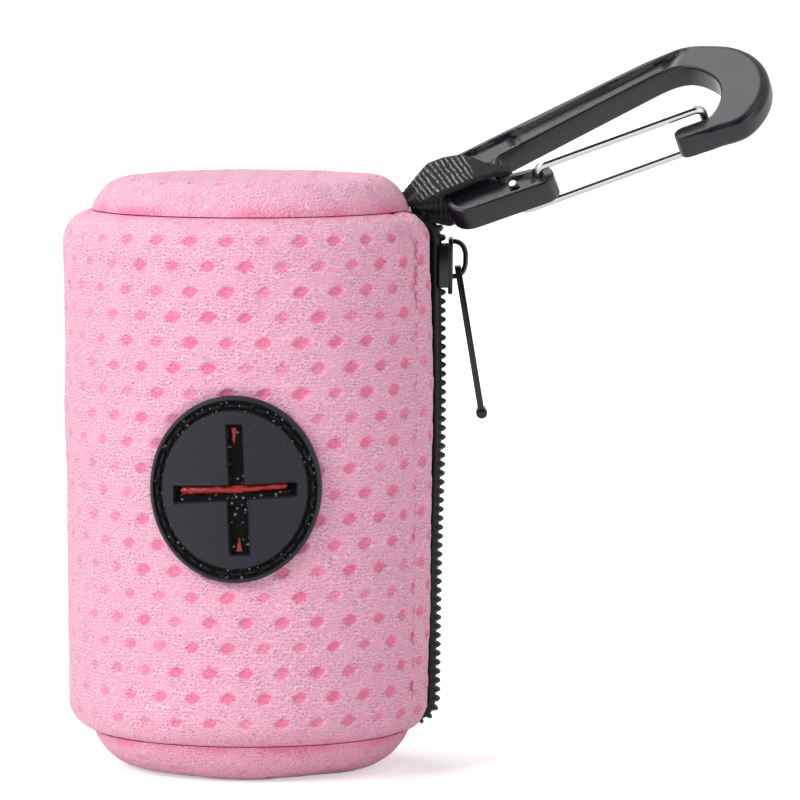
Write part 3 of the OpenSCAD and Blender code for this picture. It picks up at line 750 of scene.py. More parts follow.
def make_cap(name, edge, seam_z, up, node, grain):
    """A domed cap of the same knit: flat, turned over a round edge, then into its seam.

    edge is where the flat ends, the edge's centre height and its radius, and grain turns the knit's rows.
    """
    flat_r, centre_z, edge_r = edge
    end = math.acos((seam_z - centre_z) * up / edge_r)
    reach = flat_r + edge_r * end
    seam_r = flat_r + edge_r * math.sin(end)

    def put(u, v, depth):
        """A place of the flat pattern, brought on to the cap."""
        rho, turn = math.hypot(u, v), math.atan2(v, u) + grain
        if rho > reach:
            into = rho - reach
            r = seam_r - min(into, ALLOWANCE_T + 0.05) - depth
            z = seam_z - up * max(0.0, into - 0.4)
        else:
            a = max(0.0, rho - flat_r) / edge_r
            radius = edge_r - depth
            r = min(rho, flat_r) + radius * math.sin(a)
            z = centre_z + up * radius * math.cos(a)
        return (r * math.cos(turn), up * r * math.sin(turn), z)

    def relief(u, v):
        """Soft dents, gone at the rim and on the flat that the pouch stands on."""
        rho = math.hypot(u, v)
        soft = noise.noise(Vector((u / 9, v / 9, 5.0 * up))) * 0.3
        soft += noise.noise(Vector((u / 3.5, v / 3.5, 2))) * 0.07
        return max(0.0, 0.12 + soft) * smooth(reach - rho, 0, 3) if up > 0 or rho > flat_r - 1 else 0.03

    tiles = []
    span = int(reach / ROW) + 2
    for j in range(-span, span):
        offset = RIM_ACROSS // 2 if j % 2 else 0
        tiles += [(x * RIM_ACROSS + offset, j * RIM_UP, RIM_ACROSS) for x in range(-span, span)]

    def strength(u, v):
        """How open a hole is: less at the rim, over the round edge and here and there."""
        rho = math.hypot(u, v)
        faint = 0.5 + 0.5 * smooth(noise.noise(Vector((u / 5, v / 5, 3.0 * up))), -0.3, 0.3)
        rounding = 0.85 - 0.5 * smooth(rho, flat_r - 1, flat_r + 3)
        return smooth(reach - rho, 0.6, 3) * rounding * faint

    flat, faces, _ = knit_tiles(tiles, PITCH, ROW, relief, strength)
    faces = [f for f in faces if all(math.hypot(*flat[i][:2]) < reach - 0.25 for i in f)]
    mesh = bmesh.new()
    spots = {i: mesh.verts.new((*flat[i][:2], 0)) for i in sorted({i for f in faces for i in f})}
    values = {spot: flat[i][2:] for i, spot in spots.items()}
    for f in faces:
        mesh.faces.new([spots[i] for i in f])
    ragged = [side for side in mesh.edges if side.is_boundary]
    around = 160
    rings = []
    for into in (0.0, 0.45, ALLOWANCE_T + 0.1, ALLOWANCE_L):
        turns = [math.tau * k / around for k in range(around)]
        rings.append([mesh.verts.new(((reach + into) * math.cos(a), (reach + into) * math.sin(a), 0))
                      for a in turns])
    round_edge = [mesh.edges.new((rings[0][k - 1], rings[0][k])) for k in range(around)]
    bmesh.ops.triangle_fill(mesh, edges=ragged + round_edge, use_beauty=True)
    for inner, outer in zip(rings, rings[1:]):
        for k in range(around):
            mesh.faces.new((inner[k - 1], outer[k - 1], outer[k], inner[k]))
    mesh.verts.index_update()
    face = []
    for spot in mesh.verts:
        rho = spot.co.xy.length
        depth, hole = values.get(spot, (0.0, 0.0))
        # The seam's crease gets the holes' deeper pink as painted shade
        in_crease = crease(math.atan2(spot.co.y, spot.co.x) * reach, reach - rho)
        face.append((spot.co.x, spot.co.y, depth, max(hole, in_crease)))
    cap = make_piece(name, [put(*p[:3]) for p in face], [[v.index for v in f.verts] for f in mesh.faces],
                     [p[:2] for p in face], [p[3] for p in face])
    mesh.free()
    edit(cap, lambda: bpy.ops.mesh.normals_make_consistent(inside=False))
    if (cap.data.polygons[0].normal.z > 0) != (up > 0):
        cap.data.flip_normals()
    thin = cap.vertex_groups.new(name="thickness")
    for i, spot in enumerate(face):
        inside = math.hypot(*spot[:2]) >= reach - 0.01
        thin.add([i], ALLOWANCE_T / MESH_T if inside else 1.0, "REPLACE")
    modify(cap, "SOLIDIFY", thickness=MESH_T * MM, offset=-1, vertex_group="thickness")
    cap.vertex_groups.clear()
    finish_piece(cap, "pouch", FABRIC, [node], 60)
    return cap


def turned_ring(name, outline, steps=96):
    """A closed outline of (r, z) points spun round the pouch's axis."""
    mesh = bpy.data.meshes.new(name)
    mesh.from_pydata([Vector((r, 0, z)) * MM for r, z in outline],
                     [(i, (i + 1) % len(outline)) for i in range(len(outline))], [])
    made = put_in_scene(name, mesh)
    edit(made, lambda: bpy.ops.mesh.spin(steps=steps, angle=math.tau, center=(0, 0, 0), axis=(0, 0, 1)))
    merge_and_face_out(made)
    return made


def make_binding(name, seam, up, node):
    """Woven tape folded over both allowances: two legs and a round fold."""
    r, z = seam
    edge = z - up * (ALLOWANCE_L + 0.25)
    inner, outer, tape = r - 1.9, r + 0.05, 0.42
    leg = edge + up * 1.8
    outline = [(inner, leg), (inner, edge), (outer, edge), (outer, leg), (outer + tape, leg)]
    middle, half = (inner + outer) / 2, (outer - inner) / 2 + tape
    for k in range(9):
        a = math.pi * k / 8
        outline.append((middle + half * math.cos(a), edge - up * (0.1 + 0.35 * math.sin(a))))
    outline.append((inner - tape, leg))
    ring = turned_ring(name, outline)
    uv = ring.data.uv_layers.new(name="cloth")
    for loop in ring.data.loops:
        x, y, height = ring.data.vertices[loop.vertex_index].co / MM
        uv.data[loop.index].uv = (math.atan2(y, x) * r, height + math.hypot(x, y))
    return finish_piece(ring, "pouch", BINDING, [node], 50)


def make_stitch(length, thick):
    """One stitch: a plump thread that dips in at both ends."""
    stitch = basic_shape(bpy.ops.mesh.primitive_uv_sphere_add, segments=10, ring_count=10, radius=MM,
                         location=(0, 0, 0))
    for vertex in stitch.data.vertices:
        x, y, z = vertex.co / MM
        plump = max(0.0, 1 - z * z) ** 0.5
        round_off = max(0.0, 1 - abs(z) ** 5) ** 0.5
        scale = round_off / plump if plump > 0.01 else 0.0
        vertex.co = Vector((x * scale * thick / 2 - 0.3 * thick * z ** 4, y * scale * thick / 2,
                            z * length / 2)) * MM
    return stitch


def make_seam_thread(node, seam, up):
    """The ring of stitches that goes through a seam's allowances, inside the pouch."""
    r, z = seam[0] - 2.55, seam[1] - up * (ALLOWANCE_L - 0.7)
    ring = [Matrix.Rotation(math.tau * k / SEAM_STITCHES, 4, "Z") @ Matrix.Translation((r, 0, z))
            @ Matrix.Rotation(math.pi / 2, 4, "X") for k in range(SEAM_STITCHES)]
    thread = repeat(node.replace("stitching", "thread"), make_stitch(2.2, 0.45), ring)
    finish_piece(thread, "pouch", PINK_THREAD, [node], 60)


def chain_turn(s, out=0.0, across=0.0, deg=0.0):
    """The matrix that stands a model on the wall at an angle: its X out of the face, its Z up it."""
    r, z, out_r, out_z = wall_profile(s)
    stand = Matrix(((out_r, 0, -out_z, 0), (0, 1, 0, 0), (out_z, 0, out_r, 0), (0, 0, 0, 1)))
    return (Matrix.Rotation(math.radians(deg), 4, "Z")
            @ Matrix.Translation((r + out * out_r, across, z + out * out_z)) @ stand)


def chain_lift(s):
    """How far the chain stands out of the wall's face: it sinks at both ends and swells between."""
    ends = min(s, WALL_LENGTH - s)
    return -0.75 * (1 - smooth(ends, 0.8, 4.4)) + 0.34 * bump(s, 42, 15)


def make_tape(side, node):
    """One side's woven tape, from beside the chain to under the hem."""
    across, along = 14, 72
    points, uvs = [], []
    for j in range(along + 1):
        for i in range(across + 1):
            deg = TAPE_GAP + (TAPE_END - TAPE_GAP) * i / across
            s = WALL_LENGTH * j / along
            points.append(on_wall(side * deg, s, TAPE_IN))
            uvs.append((math.radians(deg) * WALL_R, s))
    faces = [face[::side] for face in grid_faces(across, along)]
    tape = make_piece(node.replace("zip", "woven"), points, faces, uvs)
    modify(tape, "SOLIDIFY", thickness=TAPE_T * MM, offset=-1)
    finish_piece(tape, "pouch", ZIP_TAPE, [node])


def make_coil(side, node):
    """One side's nylon coil, turn by turn, and the cord that it is wound on."""
    strand_r, half_l, half_h, bend_y, lean = 0.3, 1.13, 0.78, 2.2, 0.22
    around = 18
    path = []
    for a in (math.tau * k / around for k in range(around)):
        y = side * (bend_y - strand_r - half_l + half_l * math.cos(a))
        path.append(Vector((-0.2 + half_h * math.sin(a), y, lean * math.sin(a) * side)))
    points, faces = tube(path, strand_r, strand_r, 7, Vector((0, 0, 1)), closed=True)
    turn = make_piece("coil_turn", points, faces)
    merge_and_face_out(turn)
    # The two sides' turns lie between each other
    half = 0.5 if side > 0 else 0
    count = int((WALL_LENGTH - 2 * COIL_START) / COIL_PITCH)
    heights = [COIL_START + (k + half) * COIL_PITCH for k in range(count)]
    coil = repeat(node.replace("zip", "nylon"), turn, [chain_turn(s, chain_lift(s)) for s in heights])
    cord = []
    for s in (0.4 + (WALL_LENGTH - 0.8) * k / 120 for k in range(121)):
        cord.append(chain_turn(s, chain_lift(s) - 0.6, side * 1.35).translation)
    points, faces = tube(cord, 0.86, 0.9, 12, Vector((0, 1, 0)))
    coil = join(coil.name, coil, make_piece("cord", points, faces))
    finish_piece(coil, "pouch", COIL_NYLON, [node], 60)


def make_topstitch(side, node):
    """The row of stitches that holds one hem down."""
    places = [chain_turn(TOPSTITCH_START + TOPSTITCH_PITCH * (k + 0.5), -0.25, 0, side * TOPSTITCH_TURN)
              for k in range(TOPSTITCHES)]
    line = repeat(node.replace("zip_", "hem_"), make_stitch(2.7, 0.36), places)
    finish_piece(line, "pouch", PINK_THREAD, [node], 60)


def make_zip():
    """Both sides' tapes, coils and topstitching."""
    for side, end in ((-1, "_front"), (1, "_rear")):
        make_tape(side, "zip_tape" + end)
        make_coil(side, "zip_coil" + end)
        make_topstitch(side, "zip_topstitch" + end)


def make_slider():
    """The slider: a rounded top plate, side flanges, an under plate and the post between."""
    plate = block("plate", (0.6, 5.6, 7.6), (1.5, 0, SLIDER_Z), corner=1.7, bevel=0.24)
    for vertex in plate.data.vertices:
        low = smooth(SLIDER_Z - vertex.co.z / MM, -1, 4)
        vertex.co.y *= 1 - 0.2 * low
    under = block("under", (0.7, 6, 8), (-2.4, 0, SLIDER_Z), corner=1.7, bevel=0.2)
    flanges = [block("flange", (1.5, 0.45, 5.6), (0.6, side * 2.45, SLIDER_Z), bevel=0.18)
               for side in (-1, 1)]
    post = block("post", (4.0, 1.5, 1.8), (-0.5, 0, SLIDER_Z + 1.6), bevel=0.2)
    body = join("slider_casting", plate, under, post, *flanges)
    move_mm(body, CHAIN_PLACE)
    finish_piece(body, "slider", ENAMEL, ["slider_body"])
    # The arch is squarer than a circle
    foot, half, reach, square = 1.6, 2.33, 1.9, 0.77
    bow = []
    for k in range(25):
        a = math.pi * (k / 24 - 0.5)
        rise = half * math.copysign(abs(math.sin(a)) ** square, a)
        bow.append(Vector((foot + reach * math.cos(a) ** square, 0, SLIDER_Z + 0.9 + rise)))
    points, faces = tube(bow, 0.36, 0.9, 12, Vector((0, 1, 0)))
    crown = make_piece("slider_arch", points, faces)
    merge_and_face_out(crown)
    move_mm(crown, CHAIN_PLACE)
    finish_piece(crown, "slider", ENAMEL, ["slider_crown"])


def rounded_outline(half_top, half_low, high, low, corner):
    """A four-sided outline of (across, up) points whose corners are rounded."""
    corners = [Vector(at) for at in ((half_low, low), (half_top, high), (-half_top, high), (-half_low, low))]
    loop = []
    for i, here in enumerate(corners):
        before, after = corners[i - 1], corners[(i + 1) % 4]
        start = here.lerp(before, corner / (before - here).length)
        loop += bend(start, here, here.lerp(after, corner / (after - here).length), 4)
    return loop


def make_pull():
    """The pull: a flat tab with an eye, a bar that hangs in the crown and a rolled foot."""
    pivot = (2.5, 0, -3.58)
    length, wide, eye_l, eye_w, thick = 20, 4.6, 3.2, 2.8, 0.84
    bar, corner, foot_r = 0.42, 0.7, 0.75
    mesh = bmesh.new()
    loops = []
    for loop in (rounded_outline(wide / 2 - 0.2, wide / 2, bar, 0.4 - length, corner),
                 rounded_outline(eye_w / 2 - 0.15, eye_w / 2, -bar, -bar - eye_l, corner)):
        points = [mesh.verts.new(Vector((0, *at)) * MM) for at in loop]
        loops += [mesh.edges.new((points[i - 1], points[i])) for i in range(len(points))]
    bmesh.ops.triangle_fill(mesh, edges=loops, use_beauty=True)
    data = bpy.data.meshes.new("pull_leaf")
    mesh.to_mesh(data)
    mesh.free()
    tab = put_in_scene("pull_leaf", data)
    modify(tab, "SOLIDIFY", thickness=thick * MM, offset=0)
    modify(tab, "BEVEL", width=0.2 * MM, segments=3, limit_method="ANGLE", angle_limit=math.radians(50))
    roll = basic_shape(bpy.ops.mesh.primitive_cylinder_add, vertices=24, radius=foot_r * MM, depth=wide * MM,
                       location=(0, 0, (foot_r - length) * MM), rotation=(math.pi / 2, 0, 0))
    bpy.ops.object.transform_apply(location=True, rotation=True, scale=True)
    modify(roll, "BEVEL", width=0.22 * MM, segments=3, limit_method="ANGLE", angle_limit=math.radians(50))
    whole = join("pull_leaf", tab, roll)
    merge_and_face_out(whole, 0.0001)
    hang = Matrix.Rotation(math.radians(-10), 4, "Y")
    move_mm(whole, CHAIN_PLACE @ Matrix.Translation(pivot) @ hang)
    finish_piece(whole, "pull", PULL_ENAMEL, ["pull_tab"])


# ---------------------------------------------------------------- the slit patch

def slot_middle(x):
    """The height of the level arm's middle: it leans a little."""
    return 0.05 * x - 0.36


def patch_sink(x, z, rho):
    """How deep the patch's face lies at a place: round rim, thread channel, cross and slit."""
    edge = PATCH_R - rho
    depth = 0.5 * (1 - math.sqrt(max(0.0, 1 - (1 - min(1.0, edge / 0.7)) ** 2)))
    depth += 0.46 * smooth(CHANNEL_HALF_W - abs(rho - CHANNEL_R), 0, 0.3)
    arm_x = min(CROSS_HALF_L - 0.5 - abs(x - 0.1), 1.05 - 0.016 * x - abs(z - slot_middle(x)))
    # The upright arm is wider below and leans too
    half_w = CROSS_HALF_W * (1 + 0.12 * math.copysign(1, -z)) / 1.05
    arm_z = min(CROSS_HALF_L - abs(z), half_w - abs(x - 0.4 + 0.042 * z))
    inside = max(arm_x, arm_z)
    depth += 0.9 * smooth(inside, -0.02, 0.2) - 0.09 * bump(inside, -0.1, 0.09)
    slit = min(7.3 - abs(x), 0.6 - abs(z - slot_middle(x) - 0.35))
    depth += 0.55 * smooth(slit, -0.02, 0.2)
    return min(depth, PATCH_T - 0.1)


def patch_place(x, z, depth):
    """A place on the patch, bent round the wall."""
    z = PATCH_Z + z
    share = (z - BOTTOM_SHOULDER[1]) / (TOP_SHOULDER[1] - BOTTOM_SHOULDER[1])
    r = WALL_LOW_R + (WALL_HIGH_R - WALL_LOW_R) * share + PATCH_LIFT + PATCH_T - depth
    return Matrix.Rotation(math.radians(PATCH_TURN), 4, "Z") @ Vector((x, -math.sqrt(r * r - x * x), z))


def on_patch_ring(rho, a, depth):
    """A place on the patch at an angle on one of its ovals."""
    return patch_place(rho * math.cos(a), rho * math.sin(a) * PATCH_TALL, depth)


def make_patch():
    """The rubber patch: one moulded disc with a sunk cross, bent round the wall, and its stitches."""
    around, rings = 288, 96
    turns = [math.tau * k / around for k in range(around)]
    points, faces, marks = [patch_place(0, 0, patch_sink(0, 0, 0))], [], [1.0]
    for i in range(1, rings + 1):
        rho = PATCH_R * (1 - (1 - i / rings) ** 1.12)
        channel = smooth(CHANNEL_HALF_W - abs(rho - CHANNEL_R), 0, 0.2)
        for a in turns:
            sink = patch_sink(rho * math.cos(a), rho * math.sin(a) * PATCH_TALL, rho)
            points.append(on_patch_ring(rho, a, sink))
            # The groove mark: the sunk cross and the thread channel, which get painted shade
            marks.append(max(smooth(sink, 0.5, 0.85) if rho < 9 else 0.0, channel))
    first = len(points)
    points += [on_patch_ring(PATCH_R, a, PATCH_T) for a in turns] + [patch_place(0, 0, PATCH_T)]
    marks += [0.0] * (around + 1)
    for k in range(around):
        m = (k + 1) % around
        faces.append((0, 1 + k, 1 + m))
        for a in range(1, 1 + (rings - 1) * around, around):
            faces.append((a + k, a + around + k, a + around + m, a + m))
        a = 1 + (rings - 1) * around
        faces.append((a + k, first + k, first + m, a + m))
        faces.append((first + k, first + around, first + m))
    patch = make_piece("rubber_patch", points, faces, marks=marks, mark_name="groove")
    finish_piece(patch, "pouch", RUBBER, ["slit_patch"], 60)

    places = []
    for k in range(PATCH_STITCHES):
        a = math.tau * (k + 0.15) / PATCH_STITCHES
        here, ahead = on_patch_ring(CHANNEL_R, a, 0.27), on_patch_ring(CHANNEL_R, a + 0.01, 0.27)
        along = (ahead - here).normalized()
        side = along.cross(Vector((here.x, here.y, 0)).normalized()).normalized()
        out = side.cross(along)
        places.append(Matrix.Translation(here) @ Matrix((out, side, along)).transposed().to_4x4())
    thread = repeat("patch_thread", make_stitch(1.7, 0.46), places)
    finish_piece(thread, "pouch", BLACK_THREAD, ["patch_stitching"], 60)


def make_bag_tail():
    """The next bag's end: folded film that lies along the groove's upper edge and peeps out at the
    cross's top and bottom."""
    points = []
    across, deep = 110, 14
    for j in range(deep + 1):
        for i in range(across + 1):
            t = i / across
            x = -7.0 + 13.8 * t
            turn = math.pi * (j / deep - 0.5)
            tall = (0.58 - 0.18 * t) * (0.25 + 0.75 * smooth(min(t, 1 - t), 0, 0.02))
            ragged = 0.07 * noise.noise(Vector((x * 1.9, j * 0.25, 7.7)))
            middle = slot_middle(x) + 0.5 - 0.1 * bump(x, 0.5, 2.6)
            crumple = 0.12 * noise.noise(Vector((x * 1.4, j * 0.3, 0.5)))
            points.append(patch_place(x, middle + tall * math.sin(turn) + ragged,
                                      1.02 - 0.5 * math.cos(turn) + crumple))
    tail = make_piece("film_tail", points, grid_faces(across, deep))
    modify(tail, "SOLIDIFY", thickness=FILM_T * MM, offset=0)
    wedges = []
    for low, high, half, lean in ((5.6, 8.0, 0.3, 0.0), (-8.0, -6.2, 0.34, 0.65)):
        points = []
        for t in (j / 8 for j in range(9)):
            z = low + (high - low) * t
            reach = half * (t if low > 0 else 1 - t) + 0.03
            for k in (-1, -0.4, 0.3, 1):
                lift = 0.1 * noise.noise(Vector((k * 3, z * 2, 1)))
                points.append(patch_place(k * reach + lean, z, 0.8 - 0.12 * (1 - abs(k)) + lift))
        wedge = make_piece("wedge", points, grid_faces(3, 8))
        modify(wedge, "SOLIDIFY", thickness=FILM_T * MM, offset=0)
        wedges.append(wedge)
    tail = join("film_tail", tail, *wedges)
    finish_piece(tail, "pouch", FILM, ["bag_tail"], 60)


def make_roll():
    """The roll of bags: wound film with its turns showing on both ends."""
    outline = []
    low, high, inner, outer, turns = 2.85, 64.55, 6.55, 15.4, 22
    for end, step in ((low, 1), (high, -1)):
        side = []
        for k in range(turns * 2 + 1):
            r = inner + (outer - inner) * k / (turns * 2)
            side.append((r, end + step * (0.12 if k % 2 else 0.0)))
        outline += side if step > 0 else side[::-1]
    roll = turned_ring("wound_film", outline, 72)
    for vertex in roll.data.vertices:
        x, y, z = vertex.co / MM
        r = math.hypot(x, y)
        if r > inner + 0.5:
            soft = 0.12 * noise.noise(Vector((x / 3, y / 3, z / 14)))
            vertex.co = Vector((x * (1 + soft / r), y * (1 + soft / r), z)) * MM
    finish_piece(roll, "roll", FILM, ["bag_roll"], 30)


# ---------------------------------------------------------------- strap, carabiner and gate

def make_strap():
    """Ribbed webbing bunched in the seam, over the carabiner's end plate, through its throat and back."""
    face = FRAME_HALF_T + 0.35 + STRAP_T / 2
    front = [Vector(p) for p in ((-3.7, 0, 0.2), (-1.2, 0, 1.9), (0.6, 0, face), (THROAT_X - 1, 0, face),
                                 (THROAT_X + 0.85, 0, FRAME_HALF_T), (THROAT_X + 0.85, 0, -FRAME_HALF_T),
                                 (THROAT_X, 0, -face), (0.6, 0, -face), (-1.0, 0, -1.9), (-3.5, 0, -0.9))]
    path = rounded_path(front, 1.0, 6)
    fine, pitch = [], 0.11
    for a, b in zip(path, path[1:]):
        steps = max(1, round((b - a).length / pitch))
        fine += [a.lerp(b, k / steps) for k in range(steps)]
    fine.append(path[-1])
    edges = ((-3.7, -1.5, 0.7), (-1.4, -4.0, 1.5), (0.5, -4.8, 1.9), (2.6, -4.7, 1.95), (4.8, -4.5, 1.4),
             (6.4, -4.5, 0.0), (7.9, -4.55, -2.0), (9.2, -4.4, -2.9), (12, -4.3, -2.9))

    def sides(x):
        """Both edges of the webbing at a place along the carabiner."""
        for (x0, a0, b0), (x1, a1, b1) in zip(edges, edges[1:]):
            if x <= x1:
                t = smooth(x, x0, x1) * 0.35 + max(0.0, (x - x0) / (x1 - x0)) * 0.65
                return a0 + (a1 - a0) * t, b0 + (b1 - b0) * t
        return edges[-1][1:]

    across = 24
    count = 2 * (across + 1)
    points, uvs, ribs, faces, length = [], [], [], [], 0.0
    for i, here in enumerate(fine):
        after, before = fine[min(i + 1, len(fine) - 1)], fine[max(i - 1, 0)]
        length += (here - before).length if i else 0.0
        along = (after - before).normalized()
        out = Vector((along.z, 0, -along.x)) * -1
        low, high = sides(here.x)
        curl = 1 - smooth(here.x, -3.2, 1.5)
        # The ribs' crowns get a painted highlight: full on the half that faces the camera, 0.3 on the other
        # half, fading near the throat and gone in the seam, where they lie in shade
        highlight_share = 1.0 if i < len(fine) / 2 else 0.3
        highlight_share *= (1 - 0.75 * smooth(here.x, 5.2, 7.5)) * smooth(here.x, -3.4, -1.6)
        for layer in (1, -1):
            for k in range(across + 1):
                t = k / across if layer > 0 else 1 - k / across
                y = low + (high - low) * t
                edge = smooth(min(t, 1 - t), 0, 0.07)
                # The ribs fan out where the webbing is drawn together at the seam
                wander = 0.12 * noise.noise(Vector((y * 0.8, length * 0.5, 2.0)))
                fan = length + 0.22 * (t - 0.5) * (high - low) + wander
                rib = abs(math.sin(math.pi * fan / RIB_PITCH)) ** 0.8
                thick = (STRAP_T / 2 - RIB_H) * (0.55 + 0.45 * edge) + RIB_H * rib * edge
                bunch = 0.16 * curl * math.sin(y * 2.6 + 0.8)
                points.append(here + out * layer * (thick + bunch) + Vector((0, y, 0)))
                uvs.append((length, y))
                # The rib mark carries each crown's share of the painted highlight
                ribs.append(rib * edge * highlight_share)
        if i:
            faces += band_faces((i - 1) * count, i * count, count)
    faces.append(tuple(range(count))[::-1])
    faces.append(tuple(range(len(points) - count, len(points))))
    strap = make_piece("webbing_strap", points, faces, uvs, ribs, "rib")
    merge_and_face_out(strap, 0.0005)
    move_mm(strap, CARABINER_PLACE)
    start, end = (CARABINER_PLACE @ Vector((x, -1.2, 0)) * MM for x in (-2.6, 0.9))
    finish_piece(strap, ("strap", "carabiner", start, end), WEBBING, ["strap_loop"], 60)


def on_circle(circle, deg):
    """The point of a circle (centre, radius) at an angle in degrees."""
    (x, y), radius = circle
    return Vector((x + radius * math.cos(math.radians(deg)), y + radius * math.sin(math.radians(deg))))


def arc(circle, start, end, steps):
    """Points on a circle from one angle to another, either way round."""
    return [on_circle(circle, start + (end - start) * k / steps) for k in range(steps + 1)]


def even(points, count):
    """The same line with count even steps."""
    lengths = [0.0]
    for a, b in zip(points, points[1:]):
        lengths.append(lengths[-1] + (b - a).length)
    made, i = [], 0
    for k in range(count):
        want = lengths[-1] * k / count
        while lengths[i + 1] < want:
            i += 1
        step = max(1e-9, lengths[i + 1] - lengths[i])
        made.append(points[i].lerp(points[i + 1], (want - lengths[i]) / step))
    return made


def carabiner_rails():
    """The frame's outer and inner edges in its own plane, station by station from arm end to nose."""
    arm_top, spine_under = on_circle(ARM_LOW, 80.3), on_circle(SPINE_LOW, -79)
    arm_inner = arc(ARM_END, -5.6, 80.3, 12)
    slope = (arm_top - arm_inner[-1]) / (arm_top.x - arm_inner[-1].x)
    throat_low = arm_inner[-1] + slope * (THROAT_X + 0.9 - arm_inner[-1].x)
    rise = Vector((1, (4.58 + 1.81) / (36.2 - 3.41)))
    throat_high = spine_under + rise * (THROAT_X + 0.9 - spine_under.x)
    hollow_start = spine_under + rise * (32.6 - spine_under.x)
    arm_under, spine_start, spine_end = Vector((9.6, -8.3)), Vector((9.6, 3.66)), Vector((35.4, 7.7))
    # Each span: its outer line, its inner line and how many stations it has
    spans = [
        (arc(ARM_END, -5.6, -91.4, 12), arm_inner, 12),
        ([on_circle(ARM_END, -91.4), arm_under], [arm_inner[-1], throat_low], 12),
        ([arm_under, *arc(ARM_LOW, -91.4, -178.1, 10), *arc(SPINE_LOW, -178.1, -260.9, 12), spine_start],
         [throat_low, throat_low + Vector((-0.55, 0.2)), Vector((THROAT_X, throat_low.y + 0.8)),
          Vector((THROAT_X, throat_high.y - 0.8)), throat_high + Vector((-0.55, -0.2)), throat_high], 56),
        ([spine_start, spine_end], [throat_high, hollow_start], 56),
        ([spine_end, Vector((37.0, 7.82)), *arc(HOOK, 80, -95.2, 50)],
         [hollow_start, *arc(HOLLOW, 96, -62.7, 50)], 96),
        ([*arc(HOOK, -95.2, -109.9, 6), *arc(NOSE, -96, -175, 8)],
         [Vector((37.2, -7.09)), Vector((36.8, -7.05)), *arc(NOSE, 87, 185, 8)], 26)]
    outer, inner = [], []
    for out, into, count in spans:
        outer += even(out, count)
        inner += even(into, count)
    outer.append(spans[-1][0][-1])
    inner.append(spans[-1][0][-1])
    inner[0] = outer[0]
    # The hook hangs a little below the spine's line, and its hollow ends a little short
    for point in outer:
        point -= Vector((0.2, HOOK_DROP)) * smooth(point.x, 37.5, 42.5)
    for point in inner:
        point -= Vector((0.3, 0.5 * smooth(point.y, -3, 2))) * smooth(point.x, 36, 40.4)
    for _ in range(3):
        for rail in (outer, inner):
            rail[1:-1] = [(a + 2 * b + c) / 4 for a, b, c in zip(rail, rail[1:], rail[2:])]
    return outer, inner


def make_carabiner():
    """The frame, lofted between its two edges: a broad round hook, a ridged spine and a hollowed end."""
    outer, inner = carabiner_rails()
    shares = [0.0] + [0.5 - 0.5 * math.cos(math.pi * k / 30) for k in range(1, 30)] + [1.0]
    points, faces = [], []
    for n, (a, b) in enumerate(zip(outer, inner)):
        width = (b - a).length
        middle = (a + b) / 2
        spine = smooth(middle.x, 11, 14) * (1 - smooth(middle.x, 33.5, 38)) if middle.y > -3 else 0.0
        hook = smooth(middle.x, 30, 36)
        pocket = (1 - smooth(middle.x, 12.4, 13.6)) * (1 - hook)
        nose_end = smooth(-middle.y, 6.5, 8.2) * (1 - smooth(middle.x, 34, 38))
        round_out = (0.45 + 0.75 * hook) * (1 - 0.65 * nose_end)
        for side in (1, -1):
            for t in (shares if side > 0 else shares[::-1]):
                d = width * t
                z = FRAME_HALF_T
                for near, fillet in ((d, round_out), (width - d, 0.4)):
                    if near < fillet:
                        z += math.sqrt(fillet ** 2 - (fillet - near) ** 2) - fillet
                if side > 0:
                    z -= spine * 0.75 * smooth(d, 0.95, 1.5) * (1 - smooth(d, width - 0.75, width - 0.45))
                    z -= pocket * 0.6 * smooth(min(d, width - d), 0.8, 1.05)
                here = a.lerp(b, t)
                points.append(Vector((here.x, here.y, side * z)))
        count = 2 * len(shares)
        if n:
            faces += band_faces((n - 1) * count, n * count, count)
    body = make_piece("carabiner_body", points, faces)
    merge_and_face_out(body, 0.004)
    # The slots that the gate's feet turn in, each as long as the gate's turn
    for turn, low, high in ((0, -0.95, 4.0), (180, -4.0, 4.0)):
        shut, opened = (on_circle((GATE_PIVOT.xy, FOOT_REACH), turn + a) for a in (0, GATE_OPEN))
        cutter = basic_shape(bpy.ops.mesh.primitive_cylinder_add, vertices=32, radius=(WIRE_R + 0.06) * MM,
                             depth=(high - low) * MM, location=(0, 0, 0))
        for vertex in cutter.data.vertices:
            spot = opened if vertex.co.xy.dot(opened - shut) >= 0 else shut
            vertex.co += Vector((*spot, (low + high) / 2)) * MM
        modify(body, "BOOLEAN", operation="DIFFERENCE", solver="EXACT", object=cutter)
        bpy.data.objects.remove(cutter, do_unlink=True)
    move_mm(body, CARABINER_PLACE)
    finish_piece(body, "carabiner", ACETAL, ["carabiner_frame"], 35)


def make_gate():
    """The gate: one drawn wire from a foot, along the front, round the nose and back to its other foot."""
    leg, nose, near, far = 3.25, 36.7, GATE_PIVOT.x - FOOT_REACH, GATE_PIVOT.x + FOOT_REACH
    corners = [Vector((x, GATE_PIVOT.y, z)) for x, z in (
        (far, -0.85), (far, leg), (nose, leg), (nose, -leg), (near, -leg), (near, 2.1))]
    points, faces = tube(rounded_path(corners, 1.25, 9), WIRE_R, WIRE_R, 18, Vector((0, 1, 0)))
    wire = make_piece("gate_wire_loop", points, faces)
    merge_and_face_out(wire, 0.0005)
    modify(wire, "BEVEL", width=0.12 * MM, segments=2, limit_method="ANGLE", angle_limit=math.radians(60))
    move_mm(wire, CARABINER_PLACE)
    finish_piece(wire, "gate", WIRE, ["wire_gate"], 40)


# ---------------------------------------------------------------- the set

